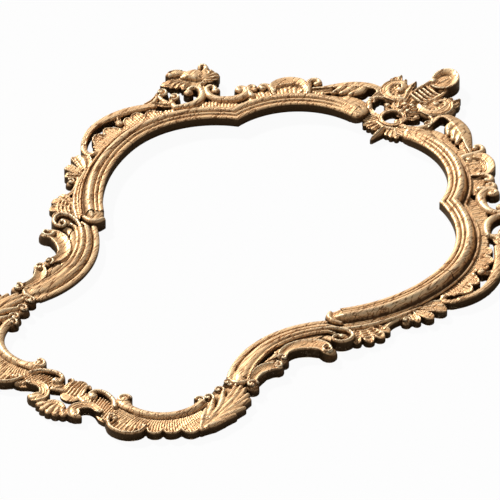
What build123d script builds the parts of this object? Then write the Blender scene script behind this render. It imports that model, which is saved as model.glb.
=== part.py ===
from build123d import *
from math import atan2, cos, degrees, radians, sin, sqrt
import os

# Carved and gilded rococo frame, lying face up on its back, in millimetres
# X runs to the right seen from the front, Y up the frame to its crest, Z out of its front

# Sight edge of the right half, the left half is its mirror image
TOP_CENTRE = Vector(65, 232)
TOP_RADIUS = 133
SIDE_CENTRE = Vector(134.5, 99.5)
SIDE_RADIUS = 164
LEG_RADIUS = 260
LEG_END = -45.5
LOWER_RADIUS = 183
LOWER_START = 132
LOWER_END = 206
LOWER_DROP = Vector(2.3, -21)
BOTTOM_RADIUS = 68
BOTTOM_START = 4
BOTTOM_END = -112
BOTTOM_STEP = Vector(-69, -78)
RAIL_END = 46
MITRE_LAP = 12
END_LAP = 8

# Moulding of the rails, measured from the sight edge and from the back
RAIL_WIDTH = 39
SIGHT_HEIGHT = 21
BEAD_WIDTH = 8
BEAD_HEIGHT = 24
TORUS_START = 10
TORUS_END = 31
TORUS_HEIGHT = 28.5
TORUS_FOOT = 18
QUIRK_HEIGHT = 15
FILLET_START = 34.5
FILLET_HEIGHT = 17
EDGE_HEIGHT = 14

# Carved section of the lower scrolls and of the bottom scrolls
SCROLL_SIGHT_HEIGHT = 13
SCROLL_QUIRK = 11
SCROLL_RIDGE_HEIGHT = 22
SCROLL_RIM_START = 31
SCROLL_RIM_HEIGHT = 20.5
SCROLL_EDGE_HEIGHT = 17
VOLUTE_RADIUS = 17
VOLUTE_HEIGHT = 19
VOLUTE_TURN = 6.7
VOLUTE_OFFSET = 48
NOSE_RADIUS = 13
BOTTOM_WIDTH = 17
BOTTOM_HEIGHT = 17
BOTTOM_HEAD_RADIUS = 10
BOTTOM_TAIL_RADIUS = 12

# Rebate for the glass, and the channel behind it where the turn buttons lie
REBATE_WIDTH = 8
REBATE_DEPTH = 8
CHANNEL_WIDTH = 20
CHANNEL_DEPTH = 4

# Heights of the applied carving above the back
PANEL_HEIGHT = 12
SCROLL_HEIGHT = 12
BRANCH_HEIGHT = 16
CROWN_RISE = 4
CROWN_SHARE = 0.55
BALL_HEIGHT = 18
BRANCH_BALL_HEIGHT = 20
BALL_ROUNDING = 3
FAN_HEIGHT = 8
SHELL_HEIGHT = 10
PLUME_HEIGHT = 15

# Pierced ring of the crest, its centre measured from the top of the sight edge
CREST_RING_LEVEL = 37
CREST_RING_RADIUS = 22
CREST_HOLE_RADIUS = 11

# Joinery
GLUE_LINE = 0.2
DOWEL_DIAMETER = 4
DOWEL_LENGTH = 16
DOWEL_LEVEL = 4.5
TENON_WIDTH = 10
TENON_THICKNESS = 5
TENON_LEVEL = 8.5
JOINT_FIT = 0.1

# Turn buttons, one screw each
BUTTON_REACH = 17
BUTTON_WIDTH = 10
BUTTON_THICKNESS = 2
BUTTON_GAP = 0.2
PIVOT_OFFSET = 18
PIVOT_FIT = 0.08
SCREW_DIAMETER = 3
SCREW_HEAD_DIAMETER = 6
SCREW_HEAD_HEIGHT = 1.2
SCREW_LENGTH = 12

# Hanging rings and their plates
HANGER_ANGLE = 20
PLATE_WIDTH = 11
PLATE_LENGTH = 30
PLATE_THICKNESS = 1
RING_WIRE = 2.4
RING_RADIUS = 7.5
RING_LEG = 5
BARREL_WALL = 1
RING_LEVEL = 2.6
HANGER_SCREW_PITCH = 12

# Taller than anything on the frame, for cutting right through it
THROUGH = 60


class Arc:
    """One arc of the sight edge, with the wood on its outer side or, for outward -1, on its inner side"""

    def __init__(self, centre, radius, outward=1):
        self.centre = centre
        self.radius = radius
        self.outward = outward

    def at(self, angle, out=0.0):
        reach = self.radius + self.outward * out
        return self.centre + Vector(reach * cos(radians(angle)), reach * sin(radians(angle)))

    def path(self, *stations):
        return [self.at(angle, out) for angle, out in stations]

    def outward_at(self, angle):
        return Vector(cos(radians(angle)), sin(radians(angle))) * self.outward

    def section(self, outline, start, end):
        """Turn an outline of widths and heights about the arc's centre, from one angle to another"""
        across = Vector(cos(radians(start)), sin(radians(start)))
        plane = Plane(origin=self.centre, x_dir=across, z_dir=Vector(across.Y, -across.X))
        shape = outline if self.outward > 0 else mirror(outline, Plane.YZ)
        axis = Axis(self.centre, (0, 0, 1) if end > start else (0, 0, -1))
        return revolve(plane * Pos(self.radius, 0) * shape, axis, abs(end - start))

    def footprint(self, width, start, end, grow=0.0):
        """Plan of the rail along this arc, grown on every side"""
        inner = -grow
        outer = width + grow
        middle = (start + end) / 2
        sides = [
            ThreePointArc(self.at(start, inner), self.at(middle, inner), self.at(end, inner)),
            Line(self.at(end, inner), self.at(end, outer)),
            ThreePointArc(self.at(end, outer), self.at(middle, outer), self.at(start, outer)),
            Line(self.at(start, outer), self.at(start, inner)),
        ]
        return make_face(sides)


TOP = Arc(TOP_CENTRE, TOP_RADIUS)
SIDE = Arc(SIDE_CENTRE, SIDE_RADIUS)
LEG = Arc(SIDE_CENTRE + Vector(SIDE_RADIUS - LEG_RADIUS, 0), LEG_RADIUS)
LOWER_HEAD = LEG.at(LEG_END) + LOWER_DROP
LOWER = Arc(LOWER_HEAD - Arc(Vector(0, 0), LOWER_RADIUS).at(LOWER_START), LOWER_RADIUS, outward=-1)
BOTTOM = Arc(LOWER.at(LOWER_END) + BOTTOM_STEP, BOTTOM_RADIUS)


def crest(x, y):
    """Point of the crest, measured from the top of the sight edge"""
    return Vector(x, TOP_CENTRE.Y + TOP_RADIUS + y)


def base(x, y):
    """Point of the bottom ornament, measured from the level of the bottom scrolls' centres"""
    return Vector(x, BOTTOM.centre.Y + y)


def corner(x, y):
    """Point of the corner ornament, measured from the centre of the bottom scroll"""
    return BOTTOM.centre + Vector(x, y)


class Ribbon:
    """Carved band along a smooth line, with its width at each point and round ends"""

    def __init__(self, points, widths, height=SCROLL_HEIGHT, rise=CROWN_RISE):
        self.points = points
        self.widths = widths
        self.height = height
        self.rise = rise

    def width_at(self, place):
        """Width at a share of the length, between the widths of the nearest two points"""
        chords = [(b - a).length for a, b in zip(self.points, self.points[1:])]
        left = place * sum(chords)
        for chord, start, end in zip(chords, self.widths, self.widths[1:]):
            if left <= chord:
                return start + (end - start) * left / chord
            left -= chord
        return self.widths[-1]

    def face(self, grow=0.0, share=1.0):
        spine = Spline(*self.points) if len(self.points) > 2 else Line(*self.points)
        steps = 4 * (len(self.points) - 1)
        left = []
        right = []
        for step in range(steps + 1):
            point = spine.position_at(step / steps)
            heading = spine.tangent_at(step / steps)
            half = self.width_at(step / steps) * share / 2 + grow
            normal = Vector(-heading.Y, heading.X) * half
            left.append(point + normal)
            right.append(point - normal)
        head = self.points[-1] + spine.tangent_at(1) * (self.widths[-1] * share / 2 + grow)
        tail = self.points[0] - spine.tangent_at(0) * (self.widths[0] * share / 2 + grow)
        sides = [
            Spline(*left),
            ThreePointArc(left[-1], head, right[-1]),
            Spline(*reversed(right)),
            ThreePointArc(right[0], tail, left[0]),
        ]
        return make_face(sides)

    def solids(self):
        body = [extrude(self.face(), self.height)]
        if self.rise:
            body.append(extrude(self.face(share=CROWN_SHARE), self.height + self.rise))
        return body


class Ball:
    """Round knob that stands on the back plane, with a rounded top"""

    def __init__(self, centre, radius, height=BALL_HEIGHT):
        self.centre = centre
        self.radius = radius
        self.height = height

    def face(self, grow=0.0):
        return Pos(self.centre) * Circle(self.radius + grow)

    def solids(self):
        knob = extrude(self.face(), self.height)
        return [fillet(knob.edges().sort_by(Axis.Z)[-1], BALL_ROUNDING)]


class Scallops:
    """Fluted ground with a plain back edge and a scalloped front edge"""

    def __init__(self, back, cusps, bulge, height=PANEL_HEIGHT):
        self.back = back
        self.cusps = cusps
        self.bulge = bulge
        self.height = height

    def face(self):
        sides = [Polyline(self.cusps[-1], *reversed(self.back), self.cusps[0])]
        inside = sum(self.back, Vector()) / len(self.back)
        for start, end in zip(self.cusps, self.cusps[1:]):
            middle = (start + end) / 2
            swell = Vector(end.Y - start.Y, start.X - end.X).normalized() * self.bulge
            outer = middle + swell if swell.dot(middle - inside) > 0 else middle - swell
            sides.append(ThreePointArc(start, outer, end))
        return make_face(sides)

    def solids(self):
        return [extrude(self.face(), self.height)]


def carve(elements, trims=()):
    """Join carved elements into one piece and trim it to the pieces that it is glued against"""
    piece = Part() + [solid for element in elements for solid in element.solids()]
    cutters = [extrude(face, THROUGH) for face in trims]
    return piece - cutters if cutters else piece


def plan(elements):
    """Footprints of carved elements, grown by the glue line, to trim their neighbours"""
    return [element.face(grow=GLUE_LINE) for element in elements]


def crossing(first, second, out):
    """Upper outer point where two rails' edges meet at the same distance from the sight edge"""
    reach_1 = first.radius + out
    reach_2 = second.radius + out
    between = second.centre - first.centre
    along = (between.length**2 + reach_1**2 - reach_2**2) / (2 * between.length)
    aside = sqrt(reach_1**2 - along**2)
    heading = between.normalized()
    return first.centre + heading * along + Vector(-heading.Y, heading.X) * aside


CUSP = crossing(TOP, SIDE, 0)
MITRE = crossing(TOP, SIDE, RAIL_WIDTH)
CUSP_TOP = degrees(atan2(CUSP.Y - TOP.centre.Y, CUSP.X - TOP.centre.X))
CUSP_SIDE = degrees(atan2(CUSP.Y - SIDE.centre.Y, CUSP.X - SIDE.centre.X))


def back_edges():
    """Rebate and channel, from the outer edge of a rail back to the ledge at its sight edge"""
    channel_end = REBATE_WIDTH + CHANNEL_WIDTH
    return [
        (channel_end, 0),
        (channel_end, CHANNEL_DEPTH),
        (REBATE_WIDTH, CHANNEL_DEPTH),
        (REBATE_WIDTH, REBATE_DEPTH),
        (0, REBATE_DEPTH),
    ]


def rail_outline():
    """Moulded section of the top and side rails"""
    torus_top = ((TORUS_START + TORUS_END) / 2, TORUS_HEIGHT)
    sides = [
        Line((0, REBATE_DEPTH), (0, SIGHT_HEIGHT)),
        ThreePointArc((0, SIGHT_HEIGHT), (BEAD_WIDTH / 2, BEAD_HEIGHT), (BEAD_WIDTH, SIGHT_HEIGHT)),
        Line((BEAD_WIDTH, SIGHT_HEIGHT), (TORUS_START, SIGHT_HEIGHT)),
        ThreePointArc((TORUS_START, SIGHT_HEIGHT), torus_top, (TORUS_END, TORUS_FOOT)),
        Polyline(
            (TORUS_END, TORUS_FOOT),
            ((TORUS_END + FILLET_START) / 2, QUIRK_HEIGHT),
            (FILLET_START, FILLET_HEIGHT),
            (RAIL_WIDTH, EDGE_HEIGHT),
            (RAIL_WIDTH, 0),
            *back_edges(),
        ),
    ]
    return make_face(sides)


def scroll_outline():
    """Carved section of the lower scrolls"""
    ridge_top = ((SCROLL_QUIRK + SCROLL_RIM_START) / 2, SCROLL_RIDGE_HEIGHT)
    rim_top = ((SCROLL_RIM_START + RAIL_WIDTH) / 2, SCROLL_RIM_HEIGHT)
    quirk = (SCROLL_QUIRK, SCROLL_SIGHT_HEIGHT)
    valley = (SCROLL_RIM_START, SCROLL_EDGE_HEIGHT)
    sides = [
        Polyline((0, REBATE_DEPTH), (0, SCROLL_SIGHT_HEIGHT), quirk),
        ThreePointArc(quirk, ridge_top, valley),
        ThreePointArc(valley, rim_top, (RAIL_WIDTH, SCROLL_EDGE_HEIGHT)),
        Polyline((RAIL_WIDTH, SCROLL_EDGE_HEIGHT), (RAIL_WIDTH, 0), *back_edges()),
    ]
    return make_face(sides)


def bottom_outline():
    """Carved section of the bottom scrolls, rebated but without a channel"""
    sides = [
        Line((0, REBATE_DEPTH), (0, SCROLL_SIGHT_HEIGHT)),
        ThreePointArc(
            (0, SCROLL_SIGHT_HEIGHT), (BOTTOM_WIDTH / 2, BOTTOM_HEIGHT), (BOTTOM_WIDTH, SCROLL_SIGHT_HEIGHT)
        ),
        Polyline(
            (BOTTOM_WIDTH, SCROLL_SIGHT_HEIGHT),
            (BOTTOM_WIDTH, 0),
            (REBATE_WIDTH, 0),
            (REBATE_WIDTH, REBATE_DEPTH),
            (0, REBATE_DEPTH),
        ),
    ]
    return make_face(sides)


def mitre_plane(side):
    """Mitre at the upper inner corner, moved half a glue line to one side"""
    along = (MITRE - CUSP).normalized()
    normal = Vector(-along.Y, along.X)
    return Plane(origin=CUSP + normal * (side * GLUE_LINE / 2), x_dir=along, z_dir=normal)


def top_rail():
    rail = TOP.section(rail_outline(), CUSP_TOP - MITRE_LAP, 90 + MITRE_LAP)
    rail = split(rail, mitre_plane(1), keep=Keep.TOP)
    return split(rail, Plane(origin=(RAIL_END, 0, 0), z_dir=(1, 0, 0)), keep=Keep.TOP)


def rail_nose():
    """Rolled lower end of the side rail"""
    return Ball(LEG.at(LEG_END, NOSE_RADIUS), NOSE_RADIUS, SIGHT_HEIGHT)


def side_rail():
    rail = SIDE.section(rail_outline(), 0, CUSP_SIDE + MITRE_LAP) + LEG.section(rail_outline(), LEG_END, 0)
    return split(rail, mitre_plane(-1), keep=Keep.BOTTOM) + rail_nose().solids()


def side_rail_plan():
    return [
        LEG.footprint(RAIL_WIDTH, LEG_END - GLUE_LINE / 5, 0, GLUE_LINE),
        SIDE.footprint(RAIL_WIDTH, 0, CUSP_SIDE, GLUE_LINE),
        rail_nose().face(GLUE_LINE),
    ]


def top_rail_plan():
    corner_fill = make_face(Polyline(CUSP, TOP.at(CUSP_TOP + MITRE_LAP, RAIL_WIDTH), MITRE,
                                     SIDE.at(CUSP_SIDE - MITRE_LAP, RAIL_WIDTH), CUSP))
    return [TOP.footprint(RAIL_WIDTH, CUSP_TOP, 90 + MITRE_LAP, GLUE_LINE), corner_fill]


def lower_scroll_plan(grow=0.0):
    return [LOWER.footprint(RAIL_WIDTH, LOWER_START - END_LAP, LOWER_END, grow), volute().face(grow)]


def volute():
    return Ball(LOWER.at(LOWER_START - VOLUTE_TURN, VOLUTE_OFFSET), VOLUTE_RADIUS, VOLUTE_HEIGHT)


def lower_scroll():
    scroll = LOWER.section(scroll_outline(), LOWER_START - END_LAP, LOWER_END) + volute().solids()
    return scroll - [extrude(face, THROUGH) for face in side_rail_plan()]


def bottom_curls():
    """Rolled ends of the bottom scroll"""
    return [
        Ball(BOTTOM.at(BOTTOM_START, 2), BOTTOM_HEAD_RADIUS, BOTTOM_HEIGHT),
        Ball(BOTTOM.at(BOTTOM_END - 5, 0), BOTTOM_TAIL_RADIUS, BOTTOM_HEIGHT),
    ]


def bottom_scroll():
    curls = [solid for curl in bottom_curls() for solid in curl.solids()]
    return BOTTOM.section(bottom_outline(), BOTTOM_END, BOTTOM_START) + curls


def bottom_scroll_plan():
    return [BOTTOM.footprint(BOTTOM_WIDTH, BOTTOM_END, BOTTOM_START, GLUE_LINE), *plan(bottom_curls())]


def crest_arm():
    return [
        Ribbon(
            TOP.path((94, 30), (92.5, 75), (88, 95), (82.5, 95), (77.5, 82), (73.5, 66), (67, 50), (60, 42)),
            [16, 18, 20, 22, 22, 20, 14, 9],
        ),
        Ribbon(TOP.path((82, 88), (80, 62), (79, 30)), [10, 12, 9], PANEL_HEIGHT, 0),
    ]


def brow_curls():
    return [
        Ribbon(TOP.path((59, 30), (59.5, 62), (61, 80), (63.5, 83), (65, 74)), [8, 7, 6.5, 6.5, 7]),
        Ribbon(TOP.path((40.5, 30), (40.6, 60), (39.6, 74), (37.8, 76), (36.5, 68)), [9, 7, 6, 6, 6]),
        Ribbon(TOP.path((33, 30), (34, 62), (34.8, 80)), [10, 8, 7]),
    ]


def brow_shell():
    return [
        Ribbon(
            TOP.path((57, 30), (57, 58), (55, 75), (50, 83), (45, 76), (43, 58), (43, 30)),
            [12, 13, 13, 14, 13, 12, 11],
        ),
        Ribbon(TOP.path((50, 30), (50, 66)), [40, 36], FAN_HEIGHT, 0),
    ]


def shoulder_scroll():
    arm = [(64.5, 99), (66, 86), (64, 70), (59.5, 62), (55, 64), (52.3, 75), (51.3, 90), (52, 101), (54, 103)]
    return [
        Ribbon(SIDE.path(*arm), [9, 12, 14, 15, 14, 13, 12, 11, 10]),
        Ball(SIDE.at(54.5, 97), 7),
        Ribbon(SIDE.path((66, 46), (58, 46), (49.5, 46)), [26, 28, 26], FAN_HEIGHT, 0),
    ]


def shoulder_crown():
    leaves = [
        ([(51.8, 108), (54, 120), (53.2, 140), (51.6, 160)], [12, 15, 16, 5]),
        ([(49.8, 104), (49, 124), (48, 138)], [22, 34, 24]),
        ([(45, 104), (42.6, 122), (41.4, 139)], [14, 24, 18]),
        ([(44, 114), (40.5, 118), (37.5, 111), (35.5, 105)], [16, 18, 18, 13]),
        ([(36.3, 98), (34.4, 98), (33.4, 90)], [14, 13, 10]),
        ([(39, 54), (35, 60), (31, 70)], [18, 15, 12]),
    ]
    stem = [(49.6, 104), (49, 80), (47, 62), (43.5, 52), (39.5, 57), (37.3, 72), (36.3, 90), (35.2, 102)]
    return [
        Ribbon(SIDE.path(*stem), [13, 13, 13, 15, 16, 15, 14, 11]),
        Ribbon(SIDE.path((43.3, 30), (43.3, 50)), [30, 20], FAN_HEIGHT, 0),
        Ribbon(SIDE.path((47.5, 112), (46.2, 102), (45.3, 93)), [12, 9, 10]),
        Ball(SIDE.at(45.3, 91), 7),
        *[Ribbon(SIDE.path(*stations), widths, PANEL_HEIGHT) for stations, widths in leaves],
    ]


def side_crescent():
    bow = SIDE.path((28, 79), (20, 83), (10, 84.5), (2, 84))
    hook = LEG.path((-3.5, 79.5), (-7, 70), (-10, 57), (-10.8, 48))
    return [
        Ribbon(bow + hook, [8, 11, 13, 13, 12, 11, 10, 9]),
        Ball(LEG.at(-9.2, 46), 7),
        Ribbon(SIDE.path((27, 79), (29.5, 84), (32, 94)), [9, 11, 9], PANEL_HEIGHT, 0),
        Ribbon(SIDE.path((10.5, 56), (10.4, 68), (9.8, 86)), [10, 12, 8], PANEL_HEIGHT, 0),
        Ball(SIDE.at(10.5, 68), 6.5),
    ]


def side_rocaille():
    back = SIDE.path((31, 28), (20, 28), (10, 28)) + LEG.path((0, 28), (-8, 28))
    cusps = SIDE.path((31, 62), (25.5, 76), (20, 82), (14.5, 80), (12.4, 58), (8.4, 54), (5, 66), (0.5, 68))
    return [Scallops(back, cusps + LEG.path((-3.5, 65), (-6.5, 56), (-8, 44)), 2.5)]


def hip_shell():
    back = LEG.path((-9, 28), (-16, 28), (-25, 28))
    cusps = LEG.path((-10.3, 66), (-14.8, 72), (-20, 72), (-22.3, 60), (-25, 46))
    curl = LEG.path((-19.5, 54), (-24, 47), (-28, 50), (-31.5, 60))
    return [Scallops(back, cusps, 5), Ribbon(curl, [9, 9, 8, 8], PANEL_HEIGHT)]


def hip_fan():
    lobes = [(-36.3, -31.8, 70), (-36.8, -34, 77), (-37.2, -36.4, 82), (-37.6, -38.8, 84), (-38.2, -41.2, 80)]
    return [Ribbon(LEG.path((root, 30), (tip, reach)), [9, 14], PANEL_HEIGHT) for root, tip, reach in lobes]


def branch_scroll():
    bow = [(127.5, 80), (129.5, 66), (135, 55), (145, 47), (156, 47), (166, 55), (172.5, 66), (176, 74)]
    return [
        Ribbon(LOWER.path(*bow), [15, 15, 16, 18, 18, 15, 13, 13], BRANCH_HEIGHT),
        Ball(LOWER.at(128, 79), 12, BRANCH_BALL_HEIGHT),
        Ball(LOWER.at(175.6, 73), 8, BRANCH_BALL_HEIGHT),
    ]


def branch_curl():
    bow = [(185, 72), (187, 62), (191, 53), (199, 47), (208, 45), (213, 50)]
    return [
        Ribbon(LOWER.path(*bow), [11, 11, 12, 17, 18, 16], BRANCH_HEIGHT),
        Ball(LOWER.at(185, 71), 7, BRANCH_BALL_HEIGHT),
        Ball(LOWER.at(215, 54), 9, BRANCH_BALL_HEIGHT),
    ]


def corner_leaf():
    lobes = [
        ([(118, -20), (102, 22), (82, 46)], [18, 24, 16]),
        ([(116, -45), (98, -8), (79, 15)], [16, 24, 16]),
        ([(122, -48), (128, -38)], [14, 10]),
        ([(122, -24), (134, -11)], [16, 10]),
        ([(123, 4), (137, 16)], [16, 11]),
        ([(126, 26), (136, 38)], [18, 12]),
        ([(112, 30), (100, 62), (88, 84)], [30, 32, 30]),
    ]
    leaf = Ribbon([corner(116, -62), corner(120, -25), corner(124, 15), corner(130, 50)], [12, 26, 32, 18])
    ground = Ribbon([corner(113, -42), corner(107, 0), corner(105, 40)], [22, 46, 52], FAN_HEIGHT, 0)
    fronds = [Ribbon([corner(*p) for p in points], widths, PANEL_HEIGHT) for points, widths in lobes]
    return [leaf, ground, *fronds]


def corner_rocaille():
    back = BOTTOM.path((-14, 8), (-35, 8), (-60, 8), (-85, 8), (-106, 8))
    flank = BOTTOM.path((-12, 44), (-23, 53), (-34, 53), (-43, 48), (-55, 46))
    foot = BOTTOM.path((-67, 44), (-80, 50), (-94, 50), (-106, 40))
    return [
        Scallops(back, flank + foot, 3),
        Ribbon(
            BOTTOM.path((-69.5, 38), (-74, 53), (-82, 63), (-91, 64), (-99, 55), (-103, 42)),
            [7, 7, 7, 7, 7, 7],
            PANEL_HEIGHT,
        ),
        Ribbon(BOTTOM.path((-86, 31), (-86, 46)), [44, 36], FAN_HEIGHT, 0),
    ]


def bottom_arch():
    rim = [base(24, -78), base(35, -69), base(48, -65), base(60, -67), base(72, -73), base(81, -87)]
    return [
        Ribbon(rim, [8, 7, 7, 7, 8, 10], PANEL_HEIGHT, CROWN_RISE),
        Ball(base(33, -81), 8),
        Ribbon([base(62, -78), base(64, -89)], [24, 28], FAN_HEIGHT, 0),
    ]


def bottom_fan():
    return [
        Ribbon([base(0, -58), base(0, -78), base(0, -96)], [14, 42, 48], FAN_HEIGHT, 0),
        Ball(base(0, -60), 4, SHELL_HEIGHT),
    ]


def pendant_scroll():
    return [
        Ribbon(
            [base(66, -103), base(46, -107), base(33, -118), base(29, -133), base(35, -145)],
            [15, 18, 19, 19, 15],
            SHELL_HEIGHT,
        ),
        Ball(base(68, -112), 7, SCROLL_HEIGHT),
    ]


def bottom_shell():
    back = [base(-16, -122), base(16, -122)]
    cusps = [base(28, -144), base(18, -153), base(6, -158), base(-6, -158), base(-18, -153), base(-28, -144)]
    return [Scallops(list(reversed(back)), cusps, 3, SHELL_HEIGHT)]


def crest_pendant():
    fans = []
    for side in (-1, 1):
        for root, tip, drop in ((7, 20, -6), (12, 32, -4), (16, 44, 2)):
            fans.append(Ribbon([crest(side * root, 26), crest(side * tip, drop)], [10, 13], PANEL_HEIGHT, 0))
        fans.append(Ribbon([crest(side * 22, 22), crest(side * 50, 20)], [18, 22], PANEL_HEIGHT))
    leaf = Ribbon([crest(0, 22), crest(0, 0), crest(0, -22)], [14, 18, 5])
    return [*fans, leaf]


def crest_cartouche():
    elements = [
        Ribbon([crest(0, 64), crest(0, 80), crest(0, 96)], [34, 52, 34]),
        Ball(crest(0, CREST_RING_LEVEL), CREST_RING_RADIUS, SCROLL_HEIGHT),
    ]
    for side in (-1, 1):
        elements.append(Ribbon([crest(side * 15, 44), crest(side * 50, 46)], [14, 16], PANEL_HEIGHT, 0))
        elements.append(Ball(crest(side * 34, 53), 7))
    return elements


def crest_plume():
    points = [crest(0, 92), crest(0, 116), crest(0, 140), crest(0, 160), crest(0, 180), crest(0, 194)]
    return [Ribbon(points, [30, 30, 25, 24, 28, 21], PLUME_HEIGHT)]


def crest_lobe():
    return [
        Ribbon(
            [crest(14, 84), crest(34, 82), crest(52, 90), crest(60, 106), crest(51, 121), crest(38, 119)],
            [18, 22, 20, 18, 17, 15],
        ),
        Ribbon([crest(40, 98), crest(54, 124), crest(57, 140)], [16, 13, 4], PANEL_HEIGHT, 0),
        Ribbon([crest(18, 96), crest(23, 124), crest(21, 141)], [16, 12, 4], PANEL_HEIGHT, 0),
    ]


def dowel(arc, angle, edge, grow=0.0):
    """Dowel that runs outward across the edge of a rail"""
    outward = arc.outward_at(angle)
    place = arc.at(angle, edge) + Vector(0, 0, DOWEL_LEVEL)
    peg = Cylinder(DOWEL_DIAMETER / 2 + grow, DOWEL_LENGTH + 2 * grow)
    return Plane(origin=place, z_dir=outward) * peg


def tenon(start, end, grow=0.0):
    """Loose tenon between two pieces, from a point in one to a point in the other"""
    heading = end - start
    place = (start + end) / 2 + Vector(0, 0, TENON_LEVEL)
    block = Box(heading.length + 2 * grow, TENON_WIDTH + 2 * grow, TENON_THICKNESS + 2 * grow)
    return Plane(origin=place, x_dir=heading.normalized(), z_dir=(0, 0, 1)) * block


# Each dowel: the arc, its angle, the edge that it crosses, and the two pieces that it joins
DOWELS = [
    (TOP, 50, RAIL_WIDTH, "top_rail", "brow_shell"),
    (TOP, 79.2, RAIL_WIDTH, "top_rail", "crest_arm"),
    (SIDE, 57, RAIL_WIDTH, "side_rail", "shoulder_scroll"),
    (SIDE, 43.3, RAIL_WIDTH, "side_rail", "shoulder_crown"),
    (SIDE, 24, RAIL_WIDTH, "side_rail", "side_rocaille"),
    (SIDE, 2, RAIL_WIDTH, "side_rail", "side_rocaille"),
    (LEG, -16, RAIL_WIDTH, "side_rail", "hip_shell"),
    (LEG, -37.3, RAIL_WIDTH, "side_rail", "hip_fan"),
    (LOWER, 150, RAIL_WIDTH, "lower_scroll", "branch_scroll"),
    (LOWER, 201, RAIL_WIDTH, "lower_scroll", "branch_curl"),
    (BOTTOM, -50, BOTTOM_WIDTH, "bottom_scroll", "corner_rocaille"),
    (BOTTOM, -86, BOTTOM_WIDTH, "bottom_scroll", "corner_rocaille"),
]

# Each loose tenon: its two ends, and the two pieces that it joins
TENONS = [
    (TOP.at(CUSP_TOP + 10, 20), SIDE.at(CUSP_SIDE - 10, 20), "top_rail", "side_rail"),
    (LEG.at(LEG_END + 2.5, 17), LOWER.at(LOWER_START + 2, 20), "side_rail", "lower_scroll"),
    (LOWER.at(LOWER_END - 4, 22), LOWER.at(LOWER_END + 5, 22), "lower_scroll", "corner_leaf"),
]


def joint_bodies(grow=0.0):
    """Dowels and tenons of the right half, each with the names of the pieces that it joins"""
    pegs = [(dowel(arc, angle, edge, grow), (one, two)) for arc, angle, edge, one, two in DOWELS]
    blocks = [(tenon(start, end, grow), (one, two)) for start, end, one, two in TENONS]
    return pegs, blocks


# Turn buttons of the right half: the arc, the angle, and the piece that each is screwed to
BUTTONS = [(TOP, 55, "top_rail"), (LEG, -12, "side_rail"), (LOWER, 168, "lower_scroll")]


def button_plane(arc, angle):
    """Plane of a turn button, on the channel's floor, with X along the rail and Y towards the opening"""
    inward = arc.outward_at(angle) * -1
    place = arc.at(angle, PIVOT_OFFSET) + Vector(0, 0, CHANNEL_DEPTH)
    return Plane(origin=place, x_dir=Vector(inward.Y, -inward.X), z_dir=(0, 0, 1))


def turn_button(arc, angle):
    """Flat brass button, parked along the rail, with a hole for its screw"""
    straight = BUTTON_REACH - BUTTON_WIDTH / 2
    arm = Pos(straight / 2, 0) * Rectangle(straight, BUTTON_WIDTH)
    tip = Pos(straight, 0) * Circle(BUTTON_WIDTH / 2)
    blank = arm + tip + Circle(BUTTON_WIDTH / 2) - Circle(SCREW_DIAMETER / 2 + PIVOT_FIT)
    button = Pos(0, 0, -BUTTON_GAP - BUTTON_THICKNESS) * extrude(blank, BUTTON_THICKNESS)
    return button_plane(arc, angle) * button


def screw(plane, seat):
    """Pan head screw whose head bears at the seat, a depth below the plane, driven upwards"""
    head = Pos(0, 0, -seat - SCREW_HEAD_HEIGHT / 2) * Cylinder(SCREW_HEAD_DIAMETER / 2, SCREW_HEAD_HEIGHT)
    shank = Pos(0, 0, SCREW_LENGTH / 2 - seat) * Cylinder(SCREW_DIAMETER / 2, SCREW_LENGTH)
    return plane * (head + shank)


def screw_hole(plane, seat):
    depth = SCREW_LENGTH + JOINT_FIT
    return plane * Pos(0, 0, depth / 2 - seat) * Cylinder(SCREW_DIAMETER / 2 + JOINT_FIT, depth)


BUTTON_SEAT = 2 * BUTTON_GAP + BUTTON_THICKNESS


def hanger_plane():
    """Plane of the hanger on the right side rail: X across the rail, Y up along it, Z into the wood"""
    outward = SIDE.outward_at(HANGER_ANGLE)
    place = SIDE.at(HANGER_ANGLE, PIVOT_OFFSET) + Vector(0, 0, CHANNEL_DEPTH)
    return Plane(origin=place, x_dir=outward, z_dir=(0, 0, 1))


BARREL_RADIUS = RING_WIRE / 2 + PIVOT_FIT + BARREL_WALL
BARREL_DROP = CHANNEL_DEPTH - RING_LEVEL


def hanger_barrel(radius, length):
    return Pos(0, 0, -BARREL_DROP) * Rot(0, 90, 0) * Cylinder(radius, length)


def hanger_plate():
    """Strap folded round the ring's bar and screwed to the rail"""
    strap = Pos(0, -PLATE_LENGTH / 2, -PLATE_THICKNESS / 2) * Box(PLATE_WIDTH, PLATE_LENGTH, PLATE_THICKNESS)
    bore = hanger_barrel(RING_WIRE / 2 + PIVOT_FIT, PLATE_WIDTH + 1)
    holes = [
        Pos(0, y, -PLATE_THICKNESS / 2) * Cylinder(SCREW_DIAMETER / 2 + JOINT_FIT, 2 * PLATE_THICKNESS)
        for y in hanger_screw_places()
    ]
    return strap + hanger_barrel(BARREL_RADIUS, PLATE_WIDTH) - bore - holes


def hanger_screw_places():
    last = -PLATE_LENGTH + SCREW_HEAD_DIAMETER / 2 + 1
    return [last, last + HANGER_SCREW_PITCH]


def hanger_ring():
    """Ring of round wire with a straight bar through the barrel"""
    path = Wire([
        Line((-RING_RADIUS, 0), (RING_RADIUS, 0)),
        Line((RING_RADIUS, 0), (RING_RADIUS, RING_LEG)),
        ThreePointArc((RING_RADIUS, RING_LEG), (0, RING_LEG + RING_RADIUS), (-RING_RADIUS, RING_LEG)),
        Line((-RING_RADIUS, RING_LEG), (-RING_RADIUS, 0)),
    ])
    section = Plane(origin=(0, 0, 0), z_dir=(1, 0, 0)) * Circle(RING_WIRE / 2)
    ring = sweep(section, path, transition=Transition.RIGHT)
    return Pos(0, 0, -BARREL_DROP) * ring


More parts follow.
